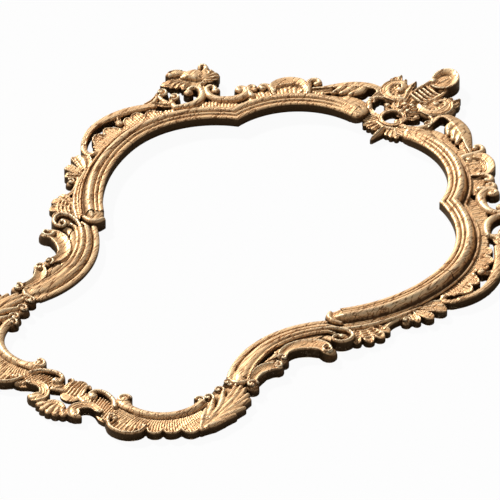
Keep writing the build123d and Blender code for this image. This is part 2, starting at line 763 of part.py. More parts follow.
def hanger_pocket():
    """Hollow in the channel's floor that lets the barrel in"""
    depth = BARREL_RADIUS - BARREL_DROP + JOINT_FIT
    size = 2 * (BARREL_RADIUS + JOINT_FIT)
    return hanger_plane() * Pos(0, 0, depth / 2) * Box(PLATE_WIDTH + 2 * JOINT_FIT, size, depth)


def right_half():
    """Every carved piece of the right half by name, trimmed to its neighbours"""
    rails = top_rail_plan() + side_rail_plan()
    lower = lower_scroll_plan(GLUE_LINE)
    bottom = bottom_scroll_plan()
    leaf = plan(corner_leaf())
    return {
        "top_rail": top_rail(),
        "side_rail": side_rail(),
        "lower_scroll": lower_scroll(),
        "bottom_scroll": bottom_scroll(),
        "crest_arm": carve(crest_arm(), rails + plan(crest_middle() + brow_shell())),
        "brow_shell": carve(brow_shell(), rails),
        "brow_curls": carve(brow_curls(), rails + plan(brow_shell() + crest_arm())),
        "shoulder_scroll": carve(shoulder_scroll(), rails + plan(brow_curls())),
        "shoulder_crown": carve(shoulder_crown(), rails + plan(shoulder_scroll())),
        "side_crescent": carve(side_crescent(), rails + plan(shoulder_crown())),
        "side_rocaille": carve(side_rocaille(), rails + plan(side_crescent() + shoulder_crown())),
        "hip_shell": carve(hip_shell(), rails + plan(side_crescent())),
        "hip_fan": carve(hip_fan(), rails + lower + plan(hip_shell()[1:])),
        "branch_scroll": carve(branch_scroll(), lower + rails),
        "branch_curl": carve(branch_curl(), lower + plan(branch_scroll())),
        "corner_leaf": carve(corner_leaf(), lower + bottom + plan(branch_curl())),
        "corner_rocaille": carve(corner_rocaille(), bottom + leaf),
        "bottom_arch": carve(bottom_arch(), bottom + plan(corner_rocaille()[1:] + bottom_fan())),
        "pendant_scroll": carve(pendant_scroll(), plan(bottom_fan() + bottom_arch() + corner_rocaille()[1:])),
        "crest_lobe": carve(crest_lobe(), plan(crest_middle() + crest_arm())),
    }


def crest_middle():
    return crest_plume() + crest_cartouche()


def middle_pieces():
    """Carved pieces on the centre line"""
    both_rails = top_rail_plan() + [mirror(face, Plane.YZ) for face in top_rail_plan()]
    both_scrolls = plan(pendant_scroll()) + [mirror(face, Plane.YZ) for face in plan(pendant_scroll())]
    hole = Pos(crest(0, CREST_RING_LEVEL)) * Circle(CREST_HOLE_RADIUS)
    end_strip = RAIL_END - GLUE_LINE
    keep = Pos(crest(0, 0)) * Rectangle(2 * end_strip, 4 * RAIL_WIDTH)
    pendant = carve(crest_pendant(), plan(crest_cartouche())) & extrude(keep, THROUGH)
    return {
        "crest_plume": carve(crest_plume()),
        "crest_cartouche": carve(crest_cartouche(), both_rails + plan(crest_plume()) + [hole]),
        "crest_pendant": pendant,
        "bottom_fan": carve(bottom_fan()),
        "bottom_shell": carve(bottom_shell(), both_scrolls + plan(bottom_fan())),
    }


def both_sides(shape):
    return {"right": shape, "left": mirror(shape, Plane.YZ)}


def hardware():
    """Buttons, screws, hangers and joint wood of the whole frame, by name"""
    pegs, blocks = joint_bodies()
    nodes = {}
    button_screws = []
    for number, (arc, angle, _) in enumerate(BUTTONS, start=1):
        for side, shape in both_sides(turn_button(arc, angle)).items():
            nodes[f"turn_button_{side}_{number}"] = shape
        button_screws += both_sides(screw(button_plane(arc, angle), BUTTON_SEAT)).values()
    plane = hanger_plane()
    plate_screws = [screw(plane * Plane(origin=(0, y, 0)), PLATE_THICKNESS) for y in hanger_screw_places()]
    for side, shape in both_sides(plane * hanger_ring()).items():
        nodes[f"hanger_ring_{side}"] = shape
    nodes["turn_button_screws"] = Compound(button_screws)
    nodes["hanger_plates"] = Compound(list(both_sides(plane * hanger_plate()).values()))
    nodes["hanger_screws"] = Compound([s for shape in plate_screws for s in both_sides(shape).values()])
    nodes["joint_dowels"] = Compound([s for peg, _ in pegs for s in both_sides(peg).values()])
    nodes["joint_tenons"] = Compound([s for block, _ in blocks for s in both_sides(block).values()])
    return nodes


def bored(pieces):
    """Right half with the holes and mortises of its joints, screws and hangers"""
    pegs, blocks = joint_bodies(JOINT_FIT)
    for cutter, names in pegs + blocks:
        for name in names:
            pieces[name] = pieces[name] - cutter
    for arc, angle, name in BUTTONS:
        pieces[name] = pieces[name] - screw_hole(button_plane(arc, angle), BUTTON_SEAT)
    plane = hanger_plane()
    holes = [screw_hole(plane * Plane(origin=(0, y, 0)), PLATE_THICKNESS) for y in hanger_screw_places()]
    pieces["side_rail"] = pieces["side_rail"] - [*holes, hanger_pocket()]
    return pieces


def frame():
    """Every piece by name, moved so that the origin is at the middle of the frame's back"""
    nodes = middle_pieces() | hardware()
    for name, piece in bored(right_half()).items():
        for side, shape in both_sides(piece).items():
            nodes[f"{name}_{side}"] = shape
    middle = Compound(list(nodes.values())).bounding_box().center()
    return {name: Pos(0, -middle.Y, 0) * shape for name, shape in nodes.items()}


os.makedirs("parts", exist_ok=True)
for name, shape in frame().items():
    export_step(shape, f"parts/{name}.step")
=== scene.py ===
import math
from contextlib import contextmanager

import bpy
import numpy as np
from mathutils import Matrix, Vector


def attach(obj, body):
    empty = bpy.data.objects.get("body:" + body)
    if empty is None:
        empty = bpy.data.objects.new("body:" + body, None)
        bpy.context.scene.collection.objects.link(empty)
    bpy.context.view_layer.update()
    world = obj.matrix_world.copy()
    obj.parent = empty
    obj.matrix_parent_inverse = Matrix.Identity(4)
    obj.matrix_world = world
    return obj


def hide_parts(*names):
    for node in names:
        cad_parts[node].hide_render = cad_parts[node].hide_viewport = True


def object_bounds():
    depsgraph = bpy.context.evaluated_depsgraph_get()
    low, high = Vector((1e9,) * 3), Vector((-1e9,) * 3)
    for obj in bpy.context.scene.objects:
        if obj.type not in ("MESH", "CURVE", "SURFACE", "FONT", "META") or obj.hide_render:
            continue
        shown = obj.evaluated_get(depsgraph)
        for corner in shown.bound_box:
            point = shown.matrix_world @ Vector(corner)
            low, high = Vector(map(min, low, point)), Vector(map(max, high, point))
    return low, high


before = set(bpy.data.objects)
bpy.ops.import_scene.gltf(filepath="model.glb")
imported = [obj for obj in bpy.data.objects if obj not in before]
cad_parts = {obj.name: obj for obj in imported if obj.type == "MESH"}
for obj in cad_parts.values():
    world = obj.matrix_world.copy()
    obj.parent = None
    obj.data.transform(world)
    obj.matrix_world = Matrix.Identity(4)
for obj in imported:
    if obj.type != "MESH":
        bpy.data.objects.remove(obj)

CAD_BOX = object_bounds()
MM = 0.001

# Sizes are in millimetres, with the origin at the middle of the frame's back
MIDDLE_SHIFT = -3.669
RAIL_WIDTH = 39
VOXEL = 0.93
STROKE_STEP = 2.0
FLUTE_STEP = 4
KNOB_SIDES = 20
WALL_LEVEL = 9
RIB_RISE = 5


class Sheet:
    """Flat ground, with points measured across and up from one point of the frame"""

    def __init__(self, x=0, y=0):
        self.x = x
        self.y = y

    def at(self, across, up):
        return (self.x + across, self.y + up)

    def path(self, *stations):
        return [self.at(*station) for station in stations]


class Arc(Sheet):
    """Ground along an arc of the sight edge, with points given by angle and depth into the wood, which lies
    outside the arc or, for outward -1, inside it"""

    def __init__(self, x, y, radius, outward=1):
        super().__init__(x, y + MIDDLE_SHIFT)
        self.radius = radius
        self.outward = outward

    def at(self, angle, out):
        reach = self.radius + self.outward * out
        turn = math.radians(angle)
        return (self.x + reach * math.cos(turn), self.y + reach * math.sin(turn))


TOP = Arc(65, 232, 133)
SIDE = Arc(134.5, 99.5, 164)
LEG = Arc(38.5, 99.5, 260)
LOWER = Arc(345.488, -242.942, 183, outward=-1)
BOTTOM = Arc(112.009, -401.164, 68)
CUSP_TOP = 8.35
CUSP_SIDE = 67.75
LEG_END = -45.5
LOWER_START = 132
LOWER_END = 206
BOTTOM_START = 4
BOTTOM_END = -112
RAIL_END = 46
TIP_LENGTH = 10
WHOLE = Sheet()
CREST = Sheet(0, TOP.y + TOP.radius)
BASE = Sheet(0, BOTTOM.y)
CORNER = Sheet(BOTTOM.x, BOTTOM.y)


# Sections of the carver's strokes: place across the stroke and share of its rise

def even(half):
    """Section with both sides alike, given from its middle outwards"""
    return turned(half[1:]) + half


def turned(section):
    """Section for the other hand, turned over from left to right"""
    return [(-across, rise) for across, rise in reversed(section)]


ROUND = even([(0, 1), (0.3, 0.95), (0.6, 0.8), (0.86, 0.5), (1, 0)])
LEAF = even([(0, 1), (0.1, 0.92), (0.3, 0.55), (0.6, 0.45), (0.85, 0.6), (1, 0.35)])
RIDGE = even([(0, 1), (0.35, 0.6), (0.7, 0.25), (1, 0)])
CUPPED = even([(0, 0.54), (0.3, 0.6), (0.6, 0.82), (0.78, 1), (0.9, 0.95), (1, 0.5)])
STRAP = [
    (-1, 0.2), (-0.93, 0.7), (-0.8, 0.95), (-0.66, 0.95), (-0.52, 0.6), (-0.4, 0.6), (-0.15, 0.9), (0.15, 1),
    (0.5, 0.92), (0.8, 0.62), (1, 0.1),
]
HOOD = [
    (-1, 0.35), (-0.95, 0.85), (-0.84, 1), (-0.62, 0.97), (-0.25, 0.86), (0.15, 0.72), (0.55, 0.5),
    (0.85, 0.22), (1, 0),
]


def smooth_line(points, *along, step):
    """Even stations on a smooth curve through the points, with each list of values carried along it"""
    points = np.array(points, float)
    if len(points) == 2:
        points = np.array([points[0], points.mean(0), points[1]])
        along = [np.interp([0, 0.5, 1], [0, 1], values) for values in along]
    chord = np.linalg.norm(np.diff(points, axis=0), axis=1)
    place = np.concatenate([[0], np.cumsum(chord)])
    slope = np.gradient(points, place, axis=0)
    count = max(4, int(place[-1] / step) + 1)
    fine = np.linspace(0, place[-1], count)
    span = np.clip(np.searchsorted(place, fine, side="right") - 1, 0, len(chord) - 1)
    share = ((fine - place[span]) / chord[span])[:, None]
    size = chord[span][:, None]
    line = (
        (2 * share**3 - 3 * share**2 + 1) * points[span]
        + (share**3 - 2 * share**2 + share) * size * slope[span]
        + (3 * share**2 - 2 * share**3) * points[span + 1]
        + (share**3 - share**2) * size * slope[span + 1]
    )
    return line, [np.interp(fine, place, values) for values in along]


def headings(line):
    """Unit directions along a line"""
    heading = np.gradient(line, axis=0)
    return heading / np.linalg.norm(heading, axis=1)[:, None]


class Carving:
    """One carved piece on its ground, cut stroke by stroke, each a closed solid on the back plane"""

    def __init__(self, ground):
        self.ground = ground
        self.points = []
        self.faces = []

    def cut(self, points, *sizes, **shape):
        """Band through points of the ground"""
        self.band(self.ground.path(*points), *sizes, **shape)

    def band(self, points, widths, top, edge=WALL_LEVEL, section=ROUND, foot=0, cap=1):
        """Band along a smooth line: its widths and the levels of its crest, of its walls and of its foot"""
        values = [np.broadcast_to(value, len(points)) for value in (widths, top, edge)]
        line, (width, crown, wall) = smooth_line(points, *values, step=STROKE_STEP)
        stations = list(zip(line, headings(line), width / 2, crown, wall))
        self.loft(round_end(stations[0], -cap)[::-1] + stations + round_end(stations[-1], cap), section, foot)

    def loft(self, stations, section, foot):
        first = len(self.points)
        size = len(section) + 2
        for place, heading, half, crown, wall in stations:
            normal = np.array([-heading[1], heading[0]])
            for across, rise in section:
                spot = place + normal * (half * across)
                self.points.append((spot[0], spot[1], wall + (crown - wall) * rise))
            for across in (1, -1):
                spot = place + normal * (half * across)
                self.points.append((spot[0], spot[1], foot))
        self.skin(first, size)

    def skin(self, first, size):
        """Faces between rings of points and over the first and the last ring"""
        last = len(self.points) - size
        for ring in range(first, last, size):
            for number in range(size):
                a = ring + number
                b = ring + (number + 1) % size
                self.faces.append((a, a + size, b + size, b))
        self.faces.append(tuple(range(first, first + size)))
        self.faces.append(tuple(range(last + size - 1, last - 1, -1)))

    def ball(self, spot, radius, top):
        """Round knob with a domed top"""
        x, y = self.ground.at(*spot)
        rings = [(1, 0)]
        for turn in (0, 0.35, 0.7, 1.05, 1.35):
            rings.append((math.cos(turn), top - radius * 0.8 * (1 - math.sin(turn))))
        first = len(self.points)
        for share, level in rings:
            for side in range(KNOB_SIDES, 0, -1):
                turn = 2 * math.pi * side / KNOB_SIDES
                across = radius * share * math.cos(turn)
                up = radius * share * math.sin(turn)
                self.points.append((x + across, y + up, level))
        self.skin(first, KNOB_SIDES)

    def flutes(self, points, widths, offsets, width, top):
        """Parallel ribs along a band, each at a share of the band's half width from its middle"""
        line, (band,) = smooth_line(self.ground.path(*points), widths, step=FLUTE_STEP)
        heading = headings(line)
        normal = np.stack([-heading[:, 1], heading[:, 0]], axis=1)
        for offset in offsets:
            self.band(line + normal * (band * offset / 2)[:, None], width, top, top - RIB_RISE)

    def ribs(self, angles, inner, outer, width, top):
        """Ribs across a panel, square to its arc, between two distances from the sight edge"""
        for number, angle in enumerate(angles):
            far = outer if np.isscalar(outer) else np.interp(angle, *zip(*sorted(outer)))
            lift = 0.5 * (number % 2)
            widths = [width * 0.9, width * 1.05]
            self.cut(((angle, inner), (angle, far)), widths, top - lift, top - 2.2)

    def volute(self, spot, radius, start, turns, top, eye=True):
        """Rolled end on sunk ground, wound in from a start angle, with positive turns anticlockwise"""
        x, y = self.ground.at(*spot)
        self.ball(spot, radius * 0.94, top - 4.5)
        width = radius * 0.5
        steps = int(abs(turns) * 14) + 2
        coil = []
        for step in range(steps):
            share = step / (steps - 1)
            turn = math.radians(start) + 2 * math.pi * turns * share
            reach = (radius - width / 2) * (1 - 0.78 * share)
            coil.append((x + reach * math.cos(turn), y + reach * math.sin(turn)))
        self.band(coil, np.linspace(width, width * 0.55, steps), top, top - RIB_RISE)
        if eye:
            self.ball(spot, radius * 0.22, top)


def round_end(station, way):
    """Stations that close a stroke's end, or its start where way is negative, with a round"""
    place, heading, half, crown, wall = station
    closing = []
    for turn in (0.4, 0.8, 1.15, 1.45):
        share = math.cos(turn)
        level = wall + (crown - wall) * (0.25 + 0.75 * share)
        closing.append((place + heading * (way * half * math.sin(turn)), heading, half * share, level, wall))
    return closing


def take_up(*pieces):
    """Select these pieces alone, with the first one active"""
    for shown in bpy.context.selected_objects:
        shown.select_set(False)
    for piece in pieces:
        piece.select_set(True)
    bpy.context.view_layer.objects.active = pieces[0]


@contextmanager
def bench(piece):
    """Work on a piece's mesh, with all of it selected"""
    take_up(piece)
    bpy.ops.object.mode_set(mode="EDIT")
    bpy.ops.mesh.select_all(action="SELECT")
    yield
    bpy.ops.object.mode_set(mode="OBJECT")


def added(name, data):
    """New object in the scene"""
    thing = bpy.data.objects.new(name, data)
    bpy.context.scene.collection.objects.link(thing)
    return thing


def mark_recesses(piece, depth, height, reach=4):
    """Mark on each point how far it lies below or above what is around it, for painted shade in the hollows
    and painted highlights on the raised edges
    """
    mesh = piece.data
    spots = np.empty(len(mesh.vertices) * 3, np.float32)
    mesh.vertices.foreach_get("co", spots)
    spots = spots.reshape(-1, 3) / MM
    low = spots[:, :2].min(0) - 2 * reach
    cells = np.floor(spots[:, :2] - low).astype(int)
    level = np.zeros(cells.max(0) + 2 * reach + 2)
    np.maximum.at(level, (cells[:, 0], cells[:, 1]), spots[:, 2])
    filled = (level > 0).astype(float)
    around = box_blur(level, reach) / np.maximum(box_blur(filled, reach), 1e-6)
    below = around[cells[:, 0], cells[:, 1]] - spots[:, 2]
    # The recess share sets painted shade in the hollows, the share above the surroundings a painted highlight
    # on the raised edges
    for name, share in (("recess", (below - 0.4) / depth), ("painted_highlight", -below / height)):
        layer = mesh.attributes.new(name, "FLOAT", "POINT")
        layer.data.foreach_set("value", np.clip(share, 0, 1).astype(np.float32))


def box_blur(field, reach):
    """Mean over a square around each cell, twice, which comes near to a soft round mean"""
    size = 2 * reach + 1
    for axis in (0, 1, 0, 1):
        margin = [(0, 0), (0, 0)]
        margin[axis] = (reach + 1, reach)
        total = np.cumsum(np.pad(field, margin), axis)
        upper = np.take(total, range(size, total.shape[axis]), axis)
        lower = np.take(total, range(0, total.shape[axis] - size), axis)
        field = (upper - lower) / size
    return field


def carved_piece(name, carve, ground, node, back):
    """Fuse the strokes of a carving into one skin and hang it on the frame in place of a CAD node"""
    work = Carving(ground)
    carve(work)
    mesh = bpy.data.meshes.new(name)
    mesh.from_pydata([tuple(c * MM for c in point) for point in work.points], [], work.faces)
    piece = added(name, mesh)
    fuse = piece.modifiers.new("fuse", "REMESH")
    fuse.mode = "VOXEL"
    fuse.voxel_size = VOXEL * MM
    soften = piece.modifiers.new("soften", "SMOOTH")
    soften.factor = 0.5
    soften.iterations = 1
    take_up(piece)
    for modifier in list(piece.modifiers):
        bpy.ops.object.modifier_apply(modifier=modifier.name)
    finish_piece(piece, node, back)
    return piece


def finish_piece(piece, node, back=0, depth=2.4, height=1.8):
    """Trim a piece to the frame's box, plane its back, so that no two backs lie in one plane, and gild it,
    with painted shade in its hollows and on its upright sides and painted highlights on its raised edges
    """
    (left, foot, wall), high = CAD_BOX
    low = (left, foot, wall + back * MM)
    for point in piece.data.vertices:
        point.co = [min(max(c, floor), roof) for c, floor, roof in zip(point.co, low, high)]
    piece.data.polygons.foreach_set("use_smooth", [True] * len(piece.data.polygons))
    mark_recesses(piece, depth, height)
    piece.data.materials.clear()
    piece.data.materials.append(GILDED_CARVING)
    hang(piece, node)


def hang(piece, node):
    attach(piece, "frame")
    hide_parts(node)


def mirrored(piece, node):
    """Copy of a right hand piece for the left side, with its own mesh"""
    mesh = piece.data.copy()
    mesh.transform(Matrix.Scale(-1, 4, (1, 0, 0)))
    mesh.flip_normals()
    hang(added(piece.name.replace("right", "left"), mesh), node.replace("right", "left"))


# Moulded rails: distance from the sight edge and level, over the front to the rebate at the back

RAIL_BACK = [(RAIL_WIDTH, 0), (28, 0), (28, 4), (8, 4), (8, 8)]
RAIL_SECTION = [
    (0, 8), (0, 21.4), (0.5, 22.8), (1.6, 23.8), (3.4, 24.3), (5.2, 24.4), (6.6, 24.2), (7.4, 23.5),
    (8.2, 21.8), (9, 23.2), (10, 24.8), (11.6, 25.6), (13, 25.7), (14, 25), (14.8, 23.4), (15.6, 25),
    (16.8, 26.8), (18.4, 27.9), (20.6, 28.5), (22.6, 28.4), (24.6, 27.6), (26.4, 26), (27.8, 23.6),
    (28.8, 21), (30, 17.8), (31.4, 15.4), (33, 14.8), (34.4, 15.3), (35.2, 16.7), (36.2, 17.5), (37.4, 17.4),
    (38.4, 16.4), (RAIL_WIDTH, 14.6), *RAIL_BACK,
]
FADED_RAIL = [(0, 19.5), (3, 22.5), (8, 24.5), (14, 26.3), (20, 27), (27, 25.6), (33, 22), (RAIL_WIDTH, 17)]
SCROLL_BEAD = [
    (0, 13), (0.8, 14.6), (2.5, 15.8), (5.5, 16.2), (8.2, 15.6), (9.6, 13.6), (10.4, 12.6), (11.4, 13.6),
]
SCROLL_SECTION = [
    (0, 8), *SCROLL_BEAD, (13, 16.8), (15.5, 19), (18.4, 20), (20.4, 19.4), (21.5, 17.6), (22.3, 17.4),
    (23.4, 19), (25.4, 21.2), (28, 22), (30, 21.2), (31, 19.4), (31.8, 19), (32.8, 20), (34.6, 21.2),
    (36.6, 20.9), (38.2, 19.4), (RAIL_WIDTH, 17.2), *RAIL_BACK,
]
FADED_SCROLL = [
    *SCROLL_BEAD, (13, 15.6), (17, 18.2), (22, 19.9), (27, 20.4), (31, 19.6), (33, 18), (34, 17.6),
    (35, 18.6), (36.6, 19.4), (38.2, 18.6), (RAIL_WIDTH, 16.6),
]
CURL_SECTION = [
    (0, 8), (0, 11), (0.8, 14), (2.4, 16.2), (5, 17.6), (8, 18.2), (11, 17.4), (13.4, 15.2), (15, 12.4),
    (16, 11), (17, 10.6), (17, 0), (8, 0), (8, 8),
]
SAME_POINT = 0.02 * MM
FADE_DEPTH = 0.85
LIP_TOP = 9
MITRE_WASTE = 12
SMOOTH_ANGLE = 40


def turned_rail(name, arc, section, start, end, steps):
    """Draw a section at the start of an arc and spin it about the arc's centre"""
    mesh = bpy.data.meshes.new(name)
    spots = [(*arc.at(start, out), level) for out, level in section]
    edges = [(i, (i + 1) % len(spots)) for i in range(len(spots))]
    mesh.from_pydata([tuple(c * MM for c in spot) for spot in spots], edges, [])
    piece = added(name, mesh)
    with bench(piece):
        bpy.ops.mesh.spin(
            steps=steps, angle=math.radians(abs(end - start)),
            center=(arc.x * MM, arc.y * MM, 0), axis=(0, 0, -1 if end > start else 1),
        )
    return piece


def close_rail(piece):
    """Fill the open ends and turn all faces outwards"""
    with bench(piece):
        bpy.ops.mesh.remove_doubles(threshold=SAME_POINT)
        bpy.ops.mesh.select_all(action="DESELECT")
        bpy.ops.mesh.select_mode(type="EDGE")
        bpy.ops.mesh.select_non_manifold()
        bpy.ops.mesh.fill()
        bpy.ops.mesh.select_all(action="SELECT")
        bpy.ops.mesh.normals_make_consistent(inside=False)


def cut_rail(piece, spot, normal):
    """Saw off what lies on the normal's side of a plane"""
    with bench(piece):
        bpy.ops.mesh.bisect(
            plane_co=(spot[0] * MM, spot[1] * MM, 0), plane_no=(normal[0], normal[1], 0), clear_outer=True,
        )


def fade_mouldings(piece, arc, faded, start, full):
    """Let the mouldings run out into one broad swelling between two angles"""
    outs, levels = zip(*faded)
    for point in piece.data.vertices:
        x = point.co.x / MM - arc.x
        y = point.co.y / MM - arc.y
        level = point.co.z / MM
        angle = math.degrees(math.atan2(y, x))
        out = (math.hypot(x, y) - arc.radius) * arc.outward
        share = min(max(((angle - start + 180) % 360 - 180) / (full - start), 0), 1)
        if share > 0 and level > LIP_TOP:
            share = share * share * (3 - 2 * share)
            point.co.z = (level + (np.interp(out, outs, levels) - level) * share * FADE_DEPTH) * MM


def mitre_line():
    """Inner point of the mitre between top and side rail, and the direction square to it"""
    cusp = np.array(TOP.at(CUSP_TOP, 0))
    outer = crossing(TOP, SIDE, RAIL_WIDTH)
    along = (outer - cusp) / np.linalg.norm(outer - cusp)
    return cusp, np.array([-along[1], along[0]])


def crossing(first, second, out):
    """Upper outer point where two rails' edges meet at the same distance from the sight edge"""
    between = np.array([second.x - first.x, second.y - first.y])
    span = np.linalg.norm(between)
    reach = first.radius + out
    along = (span**2 + reach**2 - (second.radius + out) ** 2) / (2 * span)
    aside = math.sqrt(reach**2 - along**2)
    heading = between / span
    return np.array([first.x, first.y]) + heading * along + np.array([-heading[1], heading[0]]) * aside


def both_rails(piece, node):
    close_rail(piece)
    finish_piece(piece, node, depth=1.4, height=5)
    take_up(piece)
    bpy.ops.object.shade_smooth_by_angle(angle=math.radians(SMOOTH_ANGLE))
    mirrored(piece, node)


def make_rails():
    spot, normal = mitre_line()
    top = turned_rail("carved_top_rail_right", TOP, RAIL_SECTION, CUSP_TOP - MITRE_WASTE, 104, 150)
    cut_rail(top, spot, -normal)
    cut_rail(top, (RAIL_END + TIP_LENGTH, 0), (-1, 0))
    fade_mouldings(top, TOP, FADED_RAIL, 66, 92)
    both_rails(top, "top_rail_right")
    side = turned_rail("carved_side_rail_right", SIDE, RAIL_SECTION, 0, CUSP_SIDE + MITRE_WASTE, 110)
    cut_rail(side, spot, normal)
    leg = turned_rail("carved_side_rail_leg", LEG, RAIL_SECTION, 0, LEG_END + 3, 100)
    take_up(side, leg)
    bpy.ops.object.join()
    both_rails(side, "side_rail_right")
    lower = turned_rail("carved_lower_scroll_right", LOWER, SCROLL_SECTION, LOWER_START, LOWER_END, 140)
    run = LOWER_END - LOWER_START
    fade_mouldings(lower, LOWER, FADED_SCROLL, LOWER_START + run * 0.4, LOWER_START + run * 0.75)
    both_rails(lower, "lower_scroll_right")
    bottom = turned_rail("carved_bottom_scroll_right", BOTTOM, CURL_SECTION, BOTTOM_END, BOTTOM_START, 110)
    both_rails(bottom, "bottom_scroll_right")


# Finishes

class ShaderTree:
    """Nodes of a material, a group or the world, where a value that is another node's socket is linked"""

    def __init__(self, tree):
        self.nodes = tree.nodes
        self.links = tree.links

    def feed(self, socket, value):
        if isinstance(value, bpy.types.NodeSocket):
            self.links.new(value, socket)
        else:
            socket.default_value = value

    def give(self, node, **values):
        """Feed sockets by their labels, with _ for a space"""
        for label, value in values.items():
            self.feed(node.inputs[label.replace("_", " ")], value)
        return node

    def fill(self, node, *values):
        """Feed sockets in their order"""
        for socket, value in zip(node.inputs, values):
            self.feed(socket, value)
        return node

    def add(self, kind, **values):
        return self.give(self.nodes.new("ShaderNode" + kind), **values)

    def math(self, operation, *values):
        node = self.add("Math")
        node.operation = operation
        return self.fill(node, *values).outputs["Value"]

    def ramp(self, value, start, end):
        """Share of the way from one value to another"""
        return self.add("MapRange", Value=value, From_Min=start, From_Max=end).outputs["Result"]

    def blend(self, share, first, second):
        """Colour between two colours"""
        node = self.add("Mix")
        node.data_type = "RGBA"
        return self.give(node, Factor=share, A=first, B=second).outputs["Result"]

    def group(self, group, **values):
        node = self.add("Group")
        node.node_tree = group
        return self.give(node, **values).outputs


def new_group(name, inputs, outputs):
    """Node group with number sockets: the group, its tree, what it is given and the node for what it makes"""
    group = bpy.data.node_groups.new(name, "ShaderNodeTree")
    for label, value in inputs.items():
        socket = group.interface.new_socket(name=label, in_out="INPUT", socket_type="NodeSocketFloat")
        socket.default_value = value
    for label in outputs:
        group.interface.new_socket(name=label, in_out="OUTPUT", socket_type="NodeSocketFloat")
    given = group.nodes.new("NodeGroupInput").outputs
    return group, ShaderTree(group), given, group.nodes.new("NodeGroupOutput")


def build_grain_group():
    """Streaks of wood grain under thin gilding, running up the frame, with worn patches and cracks"""
    group, tree, given, made = new_group(
        "grain_under_gilding", {"Streak Scale": 420.0, "Patch Scale": 22.0},
        ("Streaks", "Patches", "Cracks", "Relief"),
    )
    place = tree.add("TexCoord").outputs["Object"]
    stretch = tree.add("Mapping", Vector=place, Scale=(1, 0.07, 0.6), Rotation=(0, 0, math.radians(4)))
    streaks = tree.add("TexNoise", Scale=given["Streak Scale"], Detail=0.6, Roughness=0.5)
    tree.give(streaks, Vector=stretch.outputs["Vector"])
    away = tree.math("ABSOLUTE", tree.math("SUBTRACT", streaks.outputs["Fac"], 0.5))
    dark = tree.ramp(away, 0.055, 0.012)
    patches = tree.add("TexNoise", Vector=place, Scale=given["Patch Scale"], Detail=3.0).outputs["Fac"]
    cells = tree.add("TexVoronoi", Vector=place, Scale=105.0)
    cells.feature = "DISTANCE_TO_EDGE"
    worn = tree.ramp(patches, 0.44, 0.58)
    cracks = tree.math("MULTIPLY", tree.ramp(cells.outputs["Distance"], 0.06, 0.015), worn)
    sunk = tree.math("MULTIPLY", dark, -1.0)
    tree.give(made, Streaks=dark, Patches=patches, Cracks=cracks, Relief=sunk)
    return group


def build_painted_light_group():
    """Masks of the carving's hollows and raised edges, for painted shade and painted highlights, of its
    upright sides, for painted shade that partly stands for umber side paint, and of its back
    """
    group, tree, given, made = new_group(
        "painted_shade_and_highlight_masks", {"Side Level": 0.45}, ("Hollows", "Painted Highlight", "Sides", "Back"),
    )
    for layer, mask in (("recess", "Hollows"), ("painted_highlight", "Painted Highlight")):
        marked = tree.add("Attribute")
        marked.attribute_name = layer
        tree.feed(made.inputs[mask], marked.outputs["Fac"])
    facing = tree.add("SeparateXYZ", Vector=tree.add("TexCoord").outputs["Normal"]).outputs["Z"]
    # Sides: upright faces made near-black brown, painted shade that partly stands for umber side paint; Back:
    # the bare wooden back
    tree.give(made, Sides=tree.ramp(facing, given["Side Level"], 0.12), Back=tree.ramp(facing, -0.7, -0.9))
    return group


GRAIN = build_grain_group()
PAINTED_LIGHT_MASKS = build_painted_light_group()


def new_material(name):
    material = bpy.data.materials.new(name)
    material.use_nodes = True
    return material, ShaderTree(material.node_tree), material.node_tree.nodes["Principled BSDF"]


def gilded_carving():
    """Thin warm gilding on carved wood, with painted shade in the hollows and on the upright sides (these
    partly umber side paint), painted highlights on the raised edges and a bare back
    """
    material, tree, shader = new_material("gilded_carving")
    grain = tree.group(GRAIN, Streak_Scale=240.0, Patch_Scale=24.0)
    light_masks = tree.group(PAINTED_LIGHT_MASKS)
    gilt_and_painted_light = tree.blend(grain["Patches"], (0.93, 0.64, 0.345, 1), (0.86, 0.475, 0.225, 1))
    for mask, strength, colour in (
        # Painted highlight on the raised edges
        (light_masks["Painted Highlight"], 0.8, (0.95, 0.80, 0.54, 1)),
        (grain["Streaks"], 0.88, (0.23, 0.085, 0.025, 1)),
        (grain["Cracks"], 0.5, (0.20, 0.08, 0.027, 1)),
        # Painted shade in the hollows
        (light_masks["Hollows"], 0.95, (0.075, 0.03, 0.010, 1)),
        # Painted shade on the upright faces, partly umber side paint
        (light_masks["Sides"], 1.0, (0.07, 0.038, 0.017, 1)),
        (light_masks["Back"], 1.0, (0.30, 0.19, 0.10, 1)),
    ):
        gilt_and_painted_light = tree.blend(tree.math("MULTIPLY", mask, strength), gilt_and_painted_light, colour)
    bump = tree.add("Bump", Strength=0.42, Distance=0.0008, Height=grain["Relief"])
    tree.give(
        shader, Base_Color=gilt_and_painted_light, Metallic=0.36, Roughness=0.46, Specular_IOR_Level=0.15,
        Specular_Tint=(1.0, 0.80, 0.50, 1), Normal=bump.outputs["Normal"],
    )
    return material


def metal(name, colour, roughness, scratch):
    """Plain hardware metal with fine scratches and a little tarnish"""
    material, tree, shader = new_material(name)
    grain = tree.group(GRAIN, Streak_Scale=scratch, Patch_Scale=90.0)
    tarnish = [c * 0.55 for c in colour]
    tint = tree.blend(grain["Patches"], (*colour, 1), (*tarnish, 1))
    rough = tree.add("MapRange", Value=grain["Streaks"], To_Min=roughness, To_Max=roughness + 0.25)
    tree.give(shader, Base_Color=tint, Roughness=rough.outputs["Result"], Metallic=1.0)
    return material


def bare_wood():
    """Raw limewood of the dowels and loose tenons"""
    material, tree, shader = new_material("bare_limewood")
    grain = tree.group(GRAIN, Streak_Scale=300.0, Patch_Scale=40.0)
    tint = tree.blend(grain["Streaks"], (0.62, 0.45, 0.27, 1), (0.44, 0.29, 0.16, 1))
    tree.give(shader, Base_Color=tint, Roughness=0.7)
    return material


GILDED_CARVING = gilded_carving()


# Carved ornaments of the right half and of the middle, in points of the ground that the lists below give

